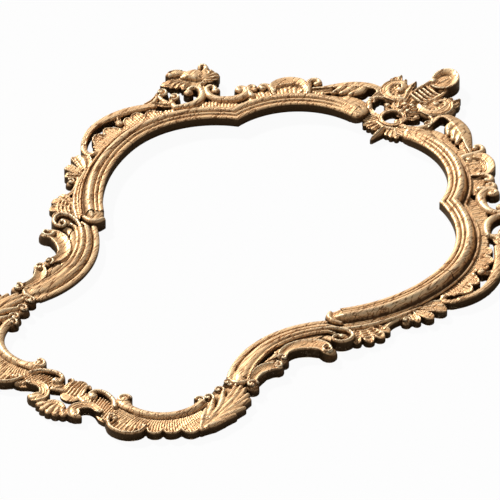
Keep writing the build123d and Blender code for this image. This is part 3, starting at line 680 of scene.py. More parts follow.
def crest_arm(work):
    arm = (
        (92.6, 56), (92.6, 74), (92.1, 88), (89.6, 95.4), (86, 95.6), (81.6, 91), (77, 83.6), (72.4, 74.6),
        (67.6, 65.6), (62.4, 60),
    )
    widths = [12, 13, 15, 20, 24, 25, 23, 18, 13, 8]
    work.cut(arm, widths, [16.5, 17.5, 18.5, 19, 19, 18.5, 18, 17.5, 17, 16], 9, HOOD)
    work.volute((92.4, 60), 9, 190, -1, 18.5)
    for blade, width in (
        (((84.4, 90), (83.8, 76), (80.8, 60)), 19), (((80.6, 88), (79.4, 72), (76.4, 57)), 20),
        (((76.6, 80), (75.2, 67), (72.6, 55)), 17),
    ):
        work.cut(blade, [18, width, 8], [17.6, 17.4, 15.4])
        work.cut(blade, [2, 2.4, 1.6], [18.2, 18.1, 16.2], 12)
    work.cut(((92, 42), (86, 43), (79, 45), (70, 43), (62, 46)), [14, 12, 16, 13, 14], [13, 11, 10.5, 11, 12])
    work.cut(((91, 48), (86, 50), (80.6, 51)), [18, 20, 18], 11.5)
    work.cut(((70.4, 60), (66, 54), (60.5, 50)), [12, 12, 10], [14.5, 14, 12.5], 9, LEAF)


def brow_curls(work):
    upper = ((60, 44), (59.9, 62), (60.3, 75.5), (61.9, 80), (63.9, 78.4), (64.6, 71.6), (63.5, 67.6))
    work.cut(upper, [13, 13, 12, 11.5, 11, 10.5, 9], 18.5, 10)
    work.ball((63.2, 69.6), 4.4, 17.5)
    work.cut(((58.5, 44), (63, 48), (69, 43)), [16, 18, 8], 11, 8)
    work.ribs((67.4, 65.8, 64.2, 62.6), 37, 53, 4.4, 13)
    middle = ((42.6, 52), (42.1, 60), (41, 67), (39, 71), (37.3, 68), (37.7, 62))
    work.cut(middle, [13, 13, 12.5, 11.5, 10.5, 9], 18.5, 10)
    work.ball((38.3, 62.6), 4.4, 17.5)
    lower = ((31, 52), (31, 62), (31.9, 71.6), (33.5, 75), (34.8, 70.6), (34.1, 64))
    work.cut(lower, [14, 13.5, 12.5, 11.5, 10.5, 9], 18.5, 10)
    work.ball((33.6, 65), 4.4, 17.5)
    work.cut(((43, 44), (37, 50), (29.5, 44)), [18, 30, 18], 12.2)
    work.ribs(np.arange(29.8, 43, 1.9), 37, 56, 6, 13.2)


def brow_shell(work):
    hood = ((58.4, 40), (57.9, 58), (55.9, 68.4), (51.2, 72), (46.8, 70), (43.8, 64), (42.8, 54), (42.8, 40))
    widths = [11, 14, 21, 25, 22, 17, 12, 10]
    work.cut(hood, widths, 18.5, 10, turned(HOOD))
    work.flutes(hood[1:7], widths[1:7], (-0.4, 0.0, 0.45), 2.6, 17)
    work.cut(((50.4, 44), (50.6, 60)), [42, 34], 12.6)
    work.ribs(np.arange(45, 57.2, 2.1), 37, [(44, 52), (47.5, 57), (51, 60), (54.5, 57), (57, 52)], 7, 14)
    work.ball((57, 48), 5.4, 17)


def shoulder_scroll(work):
    scroll = (
        (62.8, 92), (63.4, 97.4), (65.2, 96.6), (66.5, 87), (64.6, 72), (59.8, 64.5), (55.2, 66), (52.6, 74),
        (51.7, 85), (51.9, 94), (53, 98), (54.3, 96), (55, 89),
    )
    work.cut(scroll, [10, 12, 14, 17, 19, 18, 16, 15, 14, 13, 12, 11, 10], 18.5)
    work.ball((55, 87), 7.4, 18.5)
    work.ball((63.6, 90), 7.4, 18.5)
    work.cut(((67, 45), (58, 47), (49.5, 46)), [20, 26, 24], 11.6, 8)
    work.ribs(np.arange(49.6, 68, 1.4), 37, [(49, 58), (58, 60), (67, 54)], 4.6, 13)


def shoulder_crown(work):
    hook = (
        (44.9, 86), (45.4, 94), (47, 97.4), (48.8, 94.6), (49.8, 86), (49.7, 74), (48, 61), (45.2, 53.6),
        (41.4, 50.5), (37.4, 51),
    )
    work.cut(hook, [10, 11, 12, 13.5, 14.5, 15.5, 16.5, 16.5, 15, 11], 18.5)
    work.ball((44.8, 85), 8.2, 18.5)
    work.ribs(np.arange(33, 50, 1.4), 37, [(33, 50), (43, 47), (50, 56)], 4.6, 13)
    work.cut(((50, 44), (42, 44), (32, 45)), [16, 16, 18], 11.6, 8)
    work.cut(((37.6, 52), (37, 62), (37.2, 70)), [12, 13, 12], 16.5)
    work.volute((38.8, 78.6), 11.8, 250, -1.2, 18.5)
    work.cut(((36.4, 64), (34.4, 74), (33.6, 86)), [11, 11, 10], 16.5)
    work.volute((35.3, 96.6), 12.6, 250, -1.2, 18.5)
    work.cut(((36.6, 62), (33.4, 68), (30.6, 77)), [10, 13, 9], [15, 16, 14.5], 9, LEAF)
    work.cut(((50, 92), (49.6, 104), (51, 112), (52.3, 121)), [15, 13, 13, 15], 17.5, 10, LEAF)
    work.cut(((51.6, 122), (47, 121), (42, 121), (38.6, 121)), [34, 34, 26, 14], 13, 11)
    work.cut(((50.6, 127), (48.4, 130.5), (46, 130), (44.2, 127.6)), [24, 31, 22, 7], [19, 21.5, 20, 17], 14)
    work.flutes(((50.2, 128), (48.2, 131), (45.4, 129)), [22, 26, 14], (-0.5, 0.0, 0.5), 2.6, 20.6)
    work.cut(((45.4, 138), (43, 139.6), (40.6, 138.4)), [14, 17, 13], [18, 19.5, 18], 12)
    work.cut(((44.6, 142), (42.4, 144.6), (40.6, 142)), [4, 4.6, 4], 20, 14)
    work.ball((40.7, 136.6), 6, 19.5)
    ruffles = (
        (((46.2, 113), (44.2, 108), (43.6, 101)), [8, 11, 7]),
        (((45, 116), (42.8, 112), (41.6, 106)), [8, 11, 7]),
        (((44, 120), (41.6, 116), (39.8, 109)), [8, 11, 6]),
        (((43, 123), (40.4, 121), (38.4, 115.6)), [8, 10, 6]),
        (((43, 127), (40.8, 127), (38.8, 124)), [8, 10, 6]),
        (((40, 113), (38.2, 116), (36.9, 119.6)), [7, 8, 4]),
    )
    for number, (leaf, widths) in enumerate(ruffles):
        level = 17 - 0.5 * number
        work.cut(leaf, widths, [level - 1, level, level - 2.4], 10, LEAF)
    knob = ((51.4, 137), (52.1, 146), (51.6, 153), (50.5, 153.4), (50.2, 147))
    work.cut(knob, [11, 10.5, 10, 9, 7], [19, 20, 20.5, 20, 18], 12)
    work.volute((51.9, 131.6), 8, 80, 1, 19.5)
    for root, tip, width in (
        ((52, 134), (52.9, 142), 10), ((52.4, 128), (54, 135), 12), ((52.4, 122), (55.1, 127), 13),
        ((51.8, 116), (54.9, 118.6), 12), ((51, 110), (53.2, 111.4), 9),
    ):
        work.cut((root, tip), [8, width], [17.5, 18.5], 11, CUPPED)


def side_crescent(work):
    blade = SIDE.path((29.5, 66), (24.5, 72), (18, 78), (12, 81.5), (6, 83.6), (0, 82.6))
    blade += LEG.path((-3.5, 78), (-6.8, 70), (-9.3, 60.5), (-10, 51), (-8, 45.5))
    widths = [10, 16, 18, 17, 13.5, 11, 10.5, 10.5, 10.5, 10, 9]
    work.cut(blade, widths, [16.5, 17.5, 17.5, 17.5, 17.5, 17, 16.5, 16, 15.5, 15, 14.5], 13)
    work.flutes(blade[:8], widths[:8], (-0.5, 0.1, 0.6), 3.4, 17.4)
    work.ball(LEG.at(-8.6, 46), 6.4, 16)
    work.cut(SIDE.path((27, 74), (30.5, 79), (32.8, 88)), [13, 13, 10], 17, 9, STRAP)
    work.cut(SIDE.path((13.6, 76), (12, 67), (11, 60)), [12, 11, 9], 16, 8, LEAF)
    work.ball(SIDE.at(11, 59), 7.4, 18)


def side_rocaille(work):
    edge_side = [
        (31, 50), (29.2, 52), (27.6, 57), (26.2, 58.5), (24.6, 57), (23.2, 53), (21.8, 62), (20.2, 66),
        (18.4, 63), (17.2, 59), (15.6, 63), (13.8, 59), (11.6, 49), (9.9, 46), (8.4, 52), (7, 59), (5.8, 64),
        (4.4, 66), (2.8, 63), (1.4, 59), (0, 64.5),
    ]
    edge_leg = [(0, 64.5), (-1, 68), (-2.4, 67), (-3.6, 62), (-4.6, 57), (-6, 54), (-7.6, 45)]
    work.cut(((31, 44), (20, 48), (10, 42), (0, 47)), [18, 30, 14, 26], 12.4)
    work.band(LEG.path((0, 47), (-4, 46), (-7.6, 42)), [26, 22, 12], 12.4)
    work.ribs(np.arange(30.6, 0.2, -1.4), 38, edge_side, 4.6, 14)
    work.ground = LEG
    work.ribs(np.arange(-0.5, -8, -1.05), 38, edge_leg, 4.6, 14)
    lobes = (
        SIDE.path((29.4, 50), (27.8, 57.5), (26.2, 59.5), (24.6, 58), (23.2, 51)),
        SIDE.path((23.2, 51), (21.8, 63), (20.2, 67), (18.4, 64), (17.2, 57)),
        SIDE.path((17.2, 57), (15.8, 64), (13.8, 61), (12, 50)),
        SIDE.path((9, 48), (7, 60), (4.6, 67), (2.6, 64), (1.4, 57)),
        SIDE.path((1.4, 57), (0.2, 66)) + LEG.path((-1.2, 69.5), (-3, 66), (-4.6, 56)),
    )
    for rim in lobes:
        work.band(rim, 4.4, 15)


def hip_shell(work):
    work.cut(((-10.6, 45), (-16, 50), (-22.4, 46)), [18, 26, 18], 10, 8)
    lobes = (
        (((-15.6, 42), (-12.6, 47), (-11.2, 54)), [10, 13, 14]),
        (((-18.6, 44), (-15.2, 54), (-13.2, 65)), [9, 17, 21]),
        (((-20, 44), (-18.8, 56), (-18, 67.5)), [8, 15, 19]),
        (((-20.8, 44), (-21.4, 54), (-21.6, 63.5)), [8, 13, 15]),
    )
    for lobe, widths in lobes:
        work.cut(lobe, widths, [13, 14.5, 15.5], 9, CUPPED)
    for rib in (((-17.6, 46), (-13.4, 68)), ((-19.6, 46), (-18.1, 70)), ((-20.4, 46), (-21.4, 66))):
        work.cut(rib, [2.8, 3.4], 14.8, 11)
    work.volute((-24.4, 57), 9, 30, 1, 16)
    stem = ((-22, 46), (-25.6, 46), (-28.8, 50), (-31.6, 60))
    work.cut(stem, [11, 10, 9, 8.5], 14, 8, STRAP)
    work.cut(((-25, 41), (-30, 41), (-35, 43)), [8, 8, 9], 11, 8)


def hip_fan(work):
    lobes = ((-36, -31.6, 65, 15), (-36.8, -34.1, 74, 18), (-37.8, -37.4, 77, 19), (-39, -40.8, 75, 17))
    strip = ((-17, 41.6), (-24, 43), (-31, 44.4), (-38, 44.6), (-43, 43))
    work.cut(strip, [4, 8, 11, 13, 10], [15, 17, 18, 18, 17], 10, STRAP)
    for root, tip, reach, width in lobes:
        bend = root * 0.45 + tip * 0.55
        lobe = ((root, 42), (bend, 42 + (reach - 42) * 0.5), (tip, reach))
        work.cut(lobe, [10, width * 0.85, width], [12.5, 14, 14.5], 8, CUPPED)
    for out in (47, 53, 59, 65, 71):
        spread = (out - 40) * 0.11
        rib = ((-36 + spread, out - 2), (-37.4, out + 2), (-39 - spread * 0.5, out))
        work.cut(rib, [3.4, 3.8, 3.4], 14.6)
    work.cut(((-33, 42), (-36.5, 44), (-41.5, 46), (-43, 58)), [12, 15, 14, 12], 12, 8)


def branch_scroll(work):
    branch = ((136.5, 83), (138.4, 73), (143.6, 64), (151.5, 56.5), (160, 52.5), (168, 54.5), (174, 62))
    work.cut(branch, [21, 25, 28, 26, 22, 18, 15], [20, 20, 20, 19.5, 19.5, 20, 20], 12, CUPPED)
    work.volute((134.8, 82.5), 14.4, 150, 0.9, 22, eye=False)
    work.volute((175, 65), 10.6, 200, -0.9, 21.5)
    work.cut(((128, 56), (133, 46), (144, 42), (160, 42), (172, 44)), [12, 14, 14, 12, 9], 16, 12)


def branch_curl(work):
    curl = ((185.4, 69), (188, 61), (191.6, 54), (196, 48), (202, 44.6), (208, 43.4))
    work.cut(curl, [18, 21, 23, 21, 17, 13], 19, 10, CUPPED)
    work.volute((185, 68), 12, 120, -0.9, 20.5)
    work.volute((212.6, 43.5), 12.4, 60, 1, 21.5)
    work.cut(((194, 58), (200, 54), (206, 50)), [7, 8, 6], 15, 9, LEAF)
    work.cut(((174, 48), (184, 50), (196, 46), (210, 42)), [13, 18, 15, 9], 15.5, 10)


def corner_leaf(work):
    work.cut(((111, -36), (108, 0), (104, 36)), [18, 40, 42], 10)
    fronds = (
        ((113, -52), (110, -16), (101, 20), (86, 44)),
        ((114, -50), (111, -4), (104, 36), (89, 84)),
        ((115, -48), (113, 6), (109, 46), (98, 84)),
        ((116, -46), (117, 6), (117, 40), (110, 72)),
        ((116, -46), (120, 4), (123, 32), (122, 62)),
        ((117, -46), (122, -2), (127, 24), (131, 53)),
        ((117, -48), (122, -16), (129, 4), (137, 30)),
        ((117, -52), (121, -32), (127, -16), (136, 6)),
        ((116, -56), (119, -44), (123, -34), (131, -16)),
        ((112, -54), (107, -34), (98, -6), (86, 16)),
        ((111, -54), (105, -40), (98, -26), (90, -8)),
    )
    for number, frond in enumerate(fronds):
        lift = 1.2 * (number % 2)
        work.cut(frond, [5.6, 11.6, 14.6, 8], [13.5, 17.5 - lift, 18 - lift, 15.6])
    for x, y, size in ((76.5, 18, 12), (78.5, 44, 12), (86, 67, 11), (98, -26, 6)):
        work.volute((x, y), size, 10, 1, 17.5)
    work.cut(((92, 78), (86, 76), (84, 68)), [12, 13, 9], 15.5)
    work.cut(((86, 4), (84, 30), (90, 56)), [14, 16, 18], 12)
    work.ball((114, -55), 5.6, 16.5)


def corner_rocaille(work):
    edge = [
        (-12, 42), (-18, 50), (-24, 57), (-30, 61.5), (-35, 61), (-38, 54), (-39.4, 47), (-41, 50),
        (-44.6, 54.5), (-48.6, 56), (-52, 53), (-54.2, 48), (-56, 51), (-59, 55), (-62, 56), (-65, 53),
        (-67.6, 47), (-80, 49), (-94, 49), (-106, 39),
    ]
    work.cut(((-16, 28), (-34, 34), (-60, 31), (-80, 33), (-104, 26)), [24, 36, 32, 36, 24], 12.8)
    for number, angle in enumerate(np.arange(-13, -106, -2.3)):
        reach = np.interp(-angle, [-a for a, d in edge], [d for a, d in edge])
        rib = ((angle + 2.6, 19), (angle + 1, 30), (angle, reach - 3))
        work.cut(rib, [2.8, 3.2, 3.8], [13.5, 14.8, 14.4 - 0.9 * (number % 2)], 10)
    for lobe in (
        ((-24, 54), (-29, 60), (-34.4, 60.5), (-37.6, 55), (-39.2, 42)),
        ((-39.6, 42), (-42, 50.5), (-46.6, 54), (-51, 52.5), (-54, 42)),
        ((-54.6, 42), (-56.8, 51), (-61, 54.5), (-65, 52), (-67.6, 41)),
    ):
        work.cut(lobe, 4.6, 15.4)
    rim = ((-69, 40), (-71.6, 55), (-78.6, 66), (-86, 69), (-93, 66), (-99.6, 55), (-104, 42))
    work.cut(rim, [7, 8.2, 8.6, 8.6, 8.6, 8.2, 7], 18, 10)
    work.cut(((-86, 34), (-86, 54)), [44, 36], 12.4)
    for angle in np.arange(-73.6, -101, -3.2):
        work.cut(((angle, 34), (angle, 60)), [3.4, 3.8], 14, 10)
    work.volute((-71.4, 42), 6.6, 260, -0.9, 18)
    work.ball((-97, 44), 4.6, 17)
    work.volute((-101.4, 42), 6.6, 300, 0.9, 18)
    work.volute((-14, 41), 8.6, 250, 0.9, 17)


def bottom_arch(work):
    rim = ((29, -82), (30.4, -73), (37, -67.4), (47, -66), (59, -69), (71, -75), (81, -87))
    work.cut(rim, [9, 9.4, 9.6, 10, 10, 10.4, 11], 18.5, 10)
    work.ball((35.6, -83), 8.4, 18.5)
    work.cut(((18, -88), (42, -92), (64, -96), (84, -104)), [16, 20, 36, 44], 10.5)
    starts = (-82, -88, -90, -90, -84, -78, -77, -78, -79, -81, -84, -88, -93, -97)
    ends = (-96, -97, -99, -101, -102, -102, -103, -104, -107, -112, -117, -121, -122, -122)
    for x, start, end in zip(range(24, 90, 5), starts, ends):
        work.cut(((x - 2, start), (x + 3, end)), [3.2, 3.8], 13.6, 10)


def bottom_fan(work):
    work.cut(((0, -68), (0, -82), (0, -92)), [26, 36, 36], [11.5, 11, 8], [10, 9.5, 6.5])
    for tip in (-16.8, -11.2, -5.6, 0, 5.6, 11.2, 16.8):
        rise = -61 - 0.03 * tip * tip
        rib = ((tip * 0.85, rise), (tip, -80), (tip * 1.1, -93))
        work.cut(rib, [3.8, 4.6, 4.6], [14.5, 14.5, 10], [10, 9.5, 6.5])
    for side in (-1, 1):
        spots = ((21, -68), (16.6, -64.5), (13, -68), (12.6, -78), (15, -90))
        roll = [(side * across, up) for across, up in spots]
        work.cut(roll, [5, 6, 6, 5.4, 5], [15, 16, 16, 15, 11], [9, 9, 9, 9, 7])
        work.cut(((side * 15, -91), (side * 22, -95), (side * 31, -99)), [10, 10, 11], [11, 12, 13], 8)
    work.cut(((-14, -95), (0, -97), (14, -95)), [5, 5.6, 5], 8, 6)


def pendant_scroll(work):
    scroll = ((66, -110.4), (54, -107), (42.4, -109.6), (33.6, -118), (30.6, -129), (35.6, -136.6))
    widths = [12.6, 14.4, 16.6, 18, 19.6, 23]
    work.cut(scroll, widths, 17.5, 10, CUPPED)
    work.flutes(scroll, widths, (-0.3, 0.1), 2.8, 16.6)
    work.volute((67.6, -111.6), 7, 60, -0.9, 18.5)
    work.cut(((34, -134), (42, -140), (48, -138.4)), [17, 15, 9], [17.5, 17, 15.5])
    work.cut(((24, -128), (22, -139), (26, -148)), [7, 8, 6], 15, 8)


def bottom_shell(work):
    for tip, drop in ((-23, -147), (-12, -152.6), (0, -154.4), (12, -152.6), (23, -147)):
        rib = ((tip * 0.4, -131), (tip * 0.75, -141), (tip, drop))
        work.cut(rib, [7, 11, 13.4], [14, 16, 15])
    work.cut(((-14, -132), (-6, -127.4), (6, -127.4), (14, -132)), [8, 10, 10, 8], 15.6)


def crest_cartouche(work):
    centre = (-2, 42)
    turns = np.linspace(0.35, 2 * math.pi + 0.05, 33)
    ring = [(centre[0] + 18.4 * math.cos(turn), centre[1] + 19.6 * math.sin(turn)) for turn in turns]
    work.cut(ring, 8.4, 17, 9.5, STRAP)
    for berry in ((13, 46), (17, 40), (9, 38), (12, 33), (17, 50)):
        work.ball(berry, 4.6, 17)
    work.cut(((0, 64), (0, 82), (0, 100)), [22, 36, 28], 11, 10)
    leaves = (
        ((0, 60), (0, 80), (0, 104)), ((-3, 62), (-10, 80), (-11, 102)), ((3, 62), (10, 80), (11, 102)),
        ((-5, 64), (-15, 78), (-21, 92)), ((5, 64), (15, 78), (21, 92)), ((-8, 64), (-18, 70), (-25, 80)),
        ((8, 64), (18, 70), (25, 80)),
    )
    for number, leaf in enumerate(leaves):
        work.cut(leaf, [7, 11, 5], [16.5, 18.5 - 0.9 * (number % 2), 16], 10, LEAF)
    for berry in ((0, 64), (-9, 69), (9, 69), (-5, 82), (6, 85), (0, 74)):
        work.ball(berry, 3.8, 19.5)
    for side in (-1, 1):
        stalk = ((side * 20, 32), (side * 34, 34), (side * 48, 42))
        work.cut(stalk, [13, 15, 15], 14)
        work.flutes(stalk, [13, 15, 15], (-0.45, 0.0, 0.45), 3.4, 16)
        work.cut(((side * 18, 58), (side * 26, 61), (side * 30, 68)), [9, 8, 6], 15, 9.5, LEAF)
        work.ball((side * 29, 66), 5.4, 17)
        curl = ((side * 47, 42), (side * 54, 52), (side * 58, 64), (side * 54, 75), (side * 46, 79))
        work.cut(curl, [13, 11, 10, 10, 9], 17, 9.5)


def crest_pendant(work):
    work.cut(((-26, 18), (0, 17), (26, 18)), [14, 16, 14], 11)
    for side in (-1, 1):
        for root, tip, drop in ((7, 13, 3.5), (11, 22, 3), (15, 31, 5.5)):
            flute = ((side * root, 23), (side * (root + tip) / 2, 14), (side * tip, drop))
            work.cut(flute, [6, 8, 8], [15, 15.5, 14], 9, LEAF)
        for level in (12, 17, 22, 27):
            flute = ((side * 18, level + 3), (side * 29, level + 1), (side * 38, level))
            work.cut(flute, [4, 4.8, 4.8], 14.6)
    work.cut(((0, 20), (0, 0), (0, -21)), [12, 16, 5], [16.5, 17, 14], 8.5, RIDGE)
    work.cut(((-18, 20), (0, 15), (18, 20)), [8, 9, 8], 15.5)


def crest_plume(work):
    work.cut(((-2, 104), (2, 122), (8, 142), (11, 160)), [28, 36, 38, 36], 11.5, 10)
    for number, level in enumerate(np.arange(106, 152, 8)):
        sway = number * 2.2
        rib = ((-13 + sway, level + 6), (1 + sway, level), (14 + sway, level - 2), (19 + sway, level + 2))
        work.cut(rib, [5, 6.4, 6.4, 5], [16.5, 18, 17.5, 15], 11)
    left = ((-16, 112), (-14, 134), (-9, 150), (-6, 164))
    right = ((15, 106), (23, 122), (28, 138), (29, 150))
    for edge in (left, right):
        work.cut(edge, [5, 6, 7, 7], [15, 16.5, 18, 19], 11)
    hood = (
        (-3, 160), (-5.6, 174), (0, 187), (10, 191), (20, 186.4), (27.4, 175), (28, 162), (21.6, 151.4),
        (11, 147), (3, 149),
    )
    tops = [20, 22, 24, 25, 25, 25, 24.4, 23.6, 23, 21.6]
    work.cut(((10, 156), (11, 178)), [34, 32], 17, 14)
    work.cut(hood, [9, 11, 13, 14, 15, 15, 14, 13, 12, 9], tops, 13, turned(HOOD))
    work.ball((-3, 160), 6, 21)
    work.cut(((6, 158), (10, 168), (12, 178)), [5, 7, 5], 19, 15, RIDGE)


def crest_lobe(work):
    work.cut(((24, 92), (40, 106), (44, 120)), [30, 42, 34], 13.5, 11)
    lobe = ((14, 90), (25, 84), (40, 83), (52, 90), (59, 103), (58, 117), (50, 127), (38, 128), (32, 120))
    widths = [12, 15, 18, 21, 22, 21, 18, 15, 11]
    work.cut(lobe, widths, 18.5, 10, turned(HOOD))
    work.flutes(lobe[1:8], widths[1:8], (-0.45, 0.0, 0.4), 2.8, 18)
    for tip in ((30, 92), (40, 90), (50, 95), (54, 105), (53, 115), (46, 122)):
        work.cut(((37, 108), tip), [6, 9], [15.5, 17], 11)
    work.ball((35, 111), 6.4, 19.5)
    leaves = (
        (((18, 100), (22, 114), (26, 131)), [10, 14, 6], 17.5),
        (((26, 118), (27, 132), (28, 146)), [9, 11, 4], 17),
        (((50, 128), (55, 137), (57, 147)), [12, 12, 4], 17.5),
        (((57, 120), (62, 129), (62, 138)), [9, 10, 4], 17),
        (((40, 128), (43, 135), (45, 142)), [8, 10, 5], 17),
    )
    for leaf, widths, top in leaves:
        work.cut(leaf, widths, [top - 2, top, top - 1.5], 10, LEAF)
    work.volute((24, 94), 7.4, 200, 1, 18.5)


def rail_tip(work):
    work.cut(((85, 20), (90, 20), (95.4, 20)), RAIL_WIDTH, [25.6, 26.4, 25], 17, foot=8, cap=0.66)
    for out, top in ((3.4, 22), (11, 25.6), (20, 27.4), (29, 25.4), (36, 20.6)):
        fold = ((86, out), (92, out + 0.4), (96.6, 19 + (out - 19) * 0.72), (98.6, 19 + (out - 19) * 0.4))
        work.cut(fold, [6, 7, 8, 6], [top, top + 0.6, top, top - 3], 17, LEAF, foot=9)
    work.cut(((86, 34), (90, 36), (93, 34)), [8, 12, 10], 18, 12)


def rail_nose(work):
    work.cut(((-39.4, 15.4), (-43, 15.4), (-45.4, 14.4)), [30, 29, 25], [24.6, 24, 22], 16, foot=8, cap=0.8)
    for out, width, top in ((4.2, 8, 24), (11.6, 6.4, 25.4), (21.8, 13.4, 28.2)):
        fold = ((-39, out), (-42, out), (-44.4, 14 + (out - 14) * 0.9))
        work.cut(fold, [width, width, width * 0.9], [top, top - 0.4, top - 3.4], 15, foot=9)
    roll = ((-43.8, 32.5), (-46.2, 26), (-47, 15), (-46.2, 4.6))
    work.cut(roll, [9, 12, 13, 9], [21, 23.4, 24, 22.6], 14)
    work.cut(((-39.4, 36.2), (-41.4, 36.2), (-42.6, 35)), [5.6, 5.6, 5], [17.6, 17.6, 16.6], 13)
    work.ball((-45.6, 14), 12, 14)


def scroll_volute(work):
    work.ball((123.4, 48.5), 17.4, 17.5)
    coil = (
        (142, 27), (133, 27.4), (125, 29.6), (118.8, 36), (116, 46), (117.2, 56), (121.6, 63.6), (127.4, 63),
        (130, 55.6), (127.8, 48.6), (123.6, 48.6),
    )
    work.cut(coil, [7.4, 7.6, 8, 8.4, 8.4, 8.4, 8, 7.6, 7, 6.4, 6], 22.4, 15)
    work.ball((123.6, 50.5), 4.6, 22.4)
    for out, top in ((16.6, 19.8), (35.2, 21.2)):
        ridge = ((137, out), (132.4, out + 0.6), (128.4, out + 5))
        work.cut(ridge, [7, 6.4, 5.4], [top, top, top - 1], 15)
    work.cut(((134.5, 5), (131.4, 5), (128.8, 9)), [9, 9, 8], [16.2, 16.2, 15], 11, foot=8)
    work.cut(((134.5, 13), (129.6, 16), (127, 24)), [10, 12, 10], 14, 11, foot=4)


def scroll_foot(work):
    work.cut(((202, 20), (207, 20), (210.4, 20)), [38, 36, 28], [16, 16, 14], 12, foot=8, cap=0.6)
    for out, top, width in ((5.4, 16.2, 9.4), (23.6, 20.3, 25), (36.4, 19.4, 5)):
        ridge = ((201.6, out), (205.6, 20 + (out - 20) * 0.96), (208.6, 20 + (out - 20) * 0.88))
        work.cut(ridge, [width, width, width * 0.9], [top, top, top - 1.2], 12, foot=8)
    roll = ((207.6, 36.6), (210.2, 30), (210.8, 20), (209.4, 11))
    work.cut(roll, [8, 11, 11.6, 9], [18.6, 20.8, 20.8, 18.4], 12)
    work.volute((210.6, 4.6), 9.6, 70, 1, 18.8)


def scroll_ends(work):
    work.volute((3.4, 3), 11.4, 190, -1.1, 18.5)
    work.cut(((-90, 8), (-98, 8.6), (-106, 8), (-113, 6)), [15, 18, 23, 25], [17.6, 18.4, 19, 18.5], 11)
    work.volute((-114.4, 2.6), 14.6, 60, 1.2, 20)


RIGHT_PIECES = (
    (crest_arm, TOP), (brow_curls, TOP), (brow_shell, TOP), (shoulder_scroll, SIDE), (shoulder_crown, SIDE),
    (side_crescent, WHOLE), (side_rocaille, SIDE), (hip_shell, LEG), (hip_fan, LEG), (branch_scroll, LOWER),
    (branch_curl, LOWER), (corner_leaf, CORNER), (corner_rocaille, BOTTOM), (bottom_arch, BASE),
    (pendant_scroll, BASE), (crest_lobe, CREST),
)
MIDDLE_PIECES = (
    (bottom_fan, BASE), (bottom_shell, BASE), (crest_cartouche, CREST), (crest_pendant, CREST),
    (crest_plume, CREST),
)
RAIL_ENDS = (
    (rail_tip, TOP, "top_rail_right"), (rail_nose, LEG, "side_rail_right"),
    (scroll_volute, LOWER, "lower_scroll_right"), (scroll_foot, LOWER, "lower_scroll_right"),
    (scroll_ends, BOTTOM, "bottom_scroll_right"),
)
# Levels of the pieces' planed backs above the wall
RIGHT_BACKS = 0.1
MIDDLE_BACKS = 1.1
END_BACKS = 1.5
BACK_STEP = 0.06


def dress_hardware():
    """Give every node of the CAD frame its finish"""
    brass = metal("aged_brass", (0.72, 0.52, 0.24), 0.32, 600.0)
    steel = metal("zinced_steel", (0.58, 0.58, 0.57), 0.36, 700.0)
    limewood = bare_wood()
    for name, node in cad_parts.items():
        if name.startswith("joint_"):
            finish = limewood
        elif name.startswith("turn_button_") and name != "turn_button_screws":
            finish = brass
        elif name.startswith(("turn_button", "hanger")):
            finish = steel
        else:
            finish = GILDED_CARVING
        node.data.materials.clear()
        node.data.materials.append(finish)


# Studio, with lengths in metres

FLOOR_SIZE = 14
FLOOR_LEVEL = -0.0004
VIEW_TARGET = Vector((21.0, -27.65 + MIDDLE_SHIFT, 20.9)) * MM
VIEW_DIRECTION = Vector((0.4616, -0.6617, 0.5909)).normalized()
VIEW_DISTANCE = 37.76
KEY_AIM = Vector((0.86, -0.30, -0.70))


def pale_floor():
    """White to the camera with a trace of shadow, and clear from below and to the lamps"""
    material, tree, shader = new_material("pale_floor")
    tree.give(shader, Base_Color=(0.6, 0.6, 0.6, 1), Roughness=0.9)
    path = tree.add("LightPath").outputs
    glow = tree.add("Emission").outputs["Emission"]
    white = tree.math("MULTIPLY", path["Is Camera Ray"], 0.95)
    seen = tree.fill(tree.add("MixShader"), white, shader.outputs["BSDF"], glow).outputs["Shader"]
    through = tree.math("MAXIMUM", tree.add("NewGeometry").outputs["Backfacing"], path["Is Shadow Ray"])
    clear = tree.add("BsdfTransparent").outputs["BSDF"]
    one_way = tree.fill(tree.add("MixShader"), through, seen, clear).outputs["Shader"]
    tree.give(tree.nodes["Material Output"], Surface=one_way)
    return material


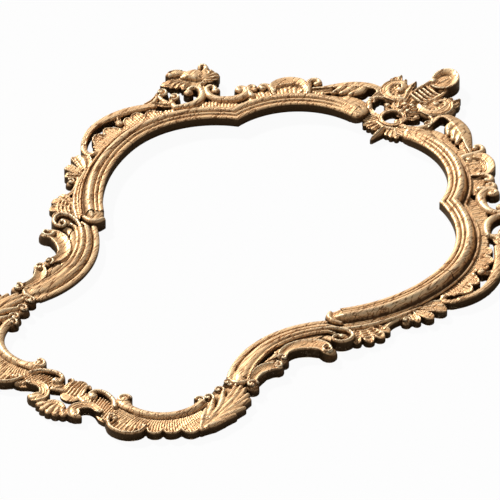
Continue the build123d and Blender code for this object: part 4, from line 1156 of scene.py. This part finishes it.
def white_world():
    """White behind the frame, dim as a light and middling in reflections"""
    world = bpy.context.scene.world or bpy.data.worlds.new("white_studio")
    bpy.context.scene.world = world
    world.use_nodes = True
    tree = ShaderTree(world.node_tree)
    path = tree.add("LightPath").outputs
    seen = tree.math("MAXIMUM", path["Is Camera Ray"], tree.math("MULTIPLY", path["Is Glossy Ray"], 0.3))
    level = tree.add("MapRange", Value=seen, To_Min=0.15, To_Max=1.0)
    tree.give(tree.nodes["Background"], Color=(1, 1, 1, 1), Strength=level.outputs["Result"])


def lamp(name, energy, spread, turn):
    light = bpy.data.lights.new(name, "SUN")
    light.energy = energy
    light.angle = math.radians(spread)
    added(name, light).rotation_euler = turn


def studio():
    bpy.ops.mesh.primitive_plane_add(size=FLOOR_SIZE, location=(0, 0, FLOOR_LEVEL))
    floor = bpy.context.object
    floor.name = "studio_floor"
    floor.data.materials.append(pale_floor())
    white_world()
    lamp("key_light", 4.6, 3, KEY_AIM.to_track_quat("-Z", "Y").to_euler())
    lamp("under_light", 2.6, 0.526, (math.pi, 0, 0))


def camera():
    lens = bpy.data.cameras.new("photograph_view")
    lens.sensor_width = 36
    lens.lens = 1700
    lens.clip_end = 120
    eye = added("photograph_view", lens)
    eye.location = VIEW_TARGET + VIEW_DIRECTION * VIEW_DISTANCE
    eye.rotation_euler = (-VIEW_DIRECTION).to_track_quat("-Z", "Y").to_euler()
    bpy.context.scene.camera = eye


bpy.context.scene.view_settings.view_transform = "Standard"
camera()
studio()
dress_hardware()
make_rails()
for number, (carve, ground) in enumerate(RIGHT_PIECES):
    node = f"{carve.__name__}_right"
    mirrored(carved_piece(f"carved_{node}", carve, ground, node, RIGHT_BACKS + BACK_STEP * number), node)
for number, (carve, ground) in enumerate(MIDDLE_PIECES):
    node = carve.__name__
    carved_piece(f"carved_{node}", carve, ground, node, MIDDLE_BACKS + BACK_STEP * number)
for number, (carve, ground, node) in enumerate(RAIL_ENDS):
    name = f"carved_{carve.__name__}_right"
    mirrored(carved_piece(name, carve, ground, node, END_BACKS + BACK_STEP * number), node)
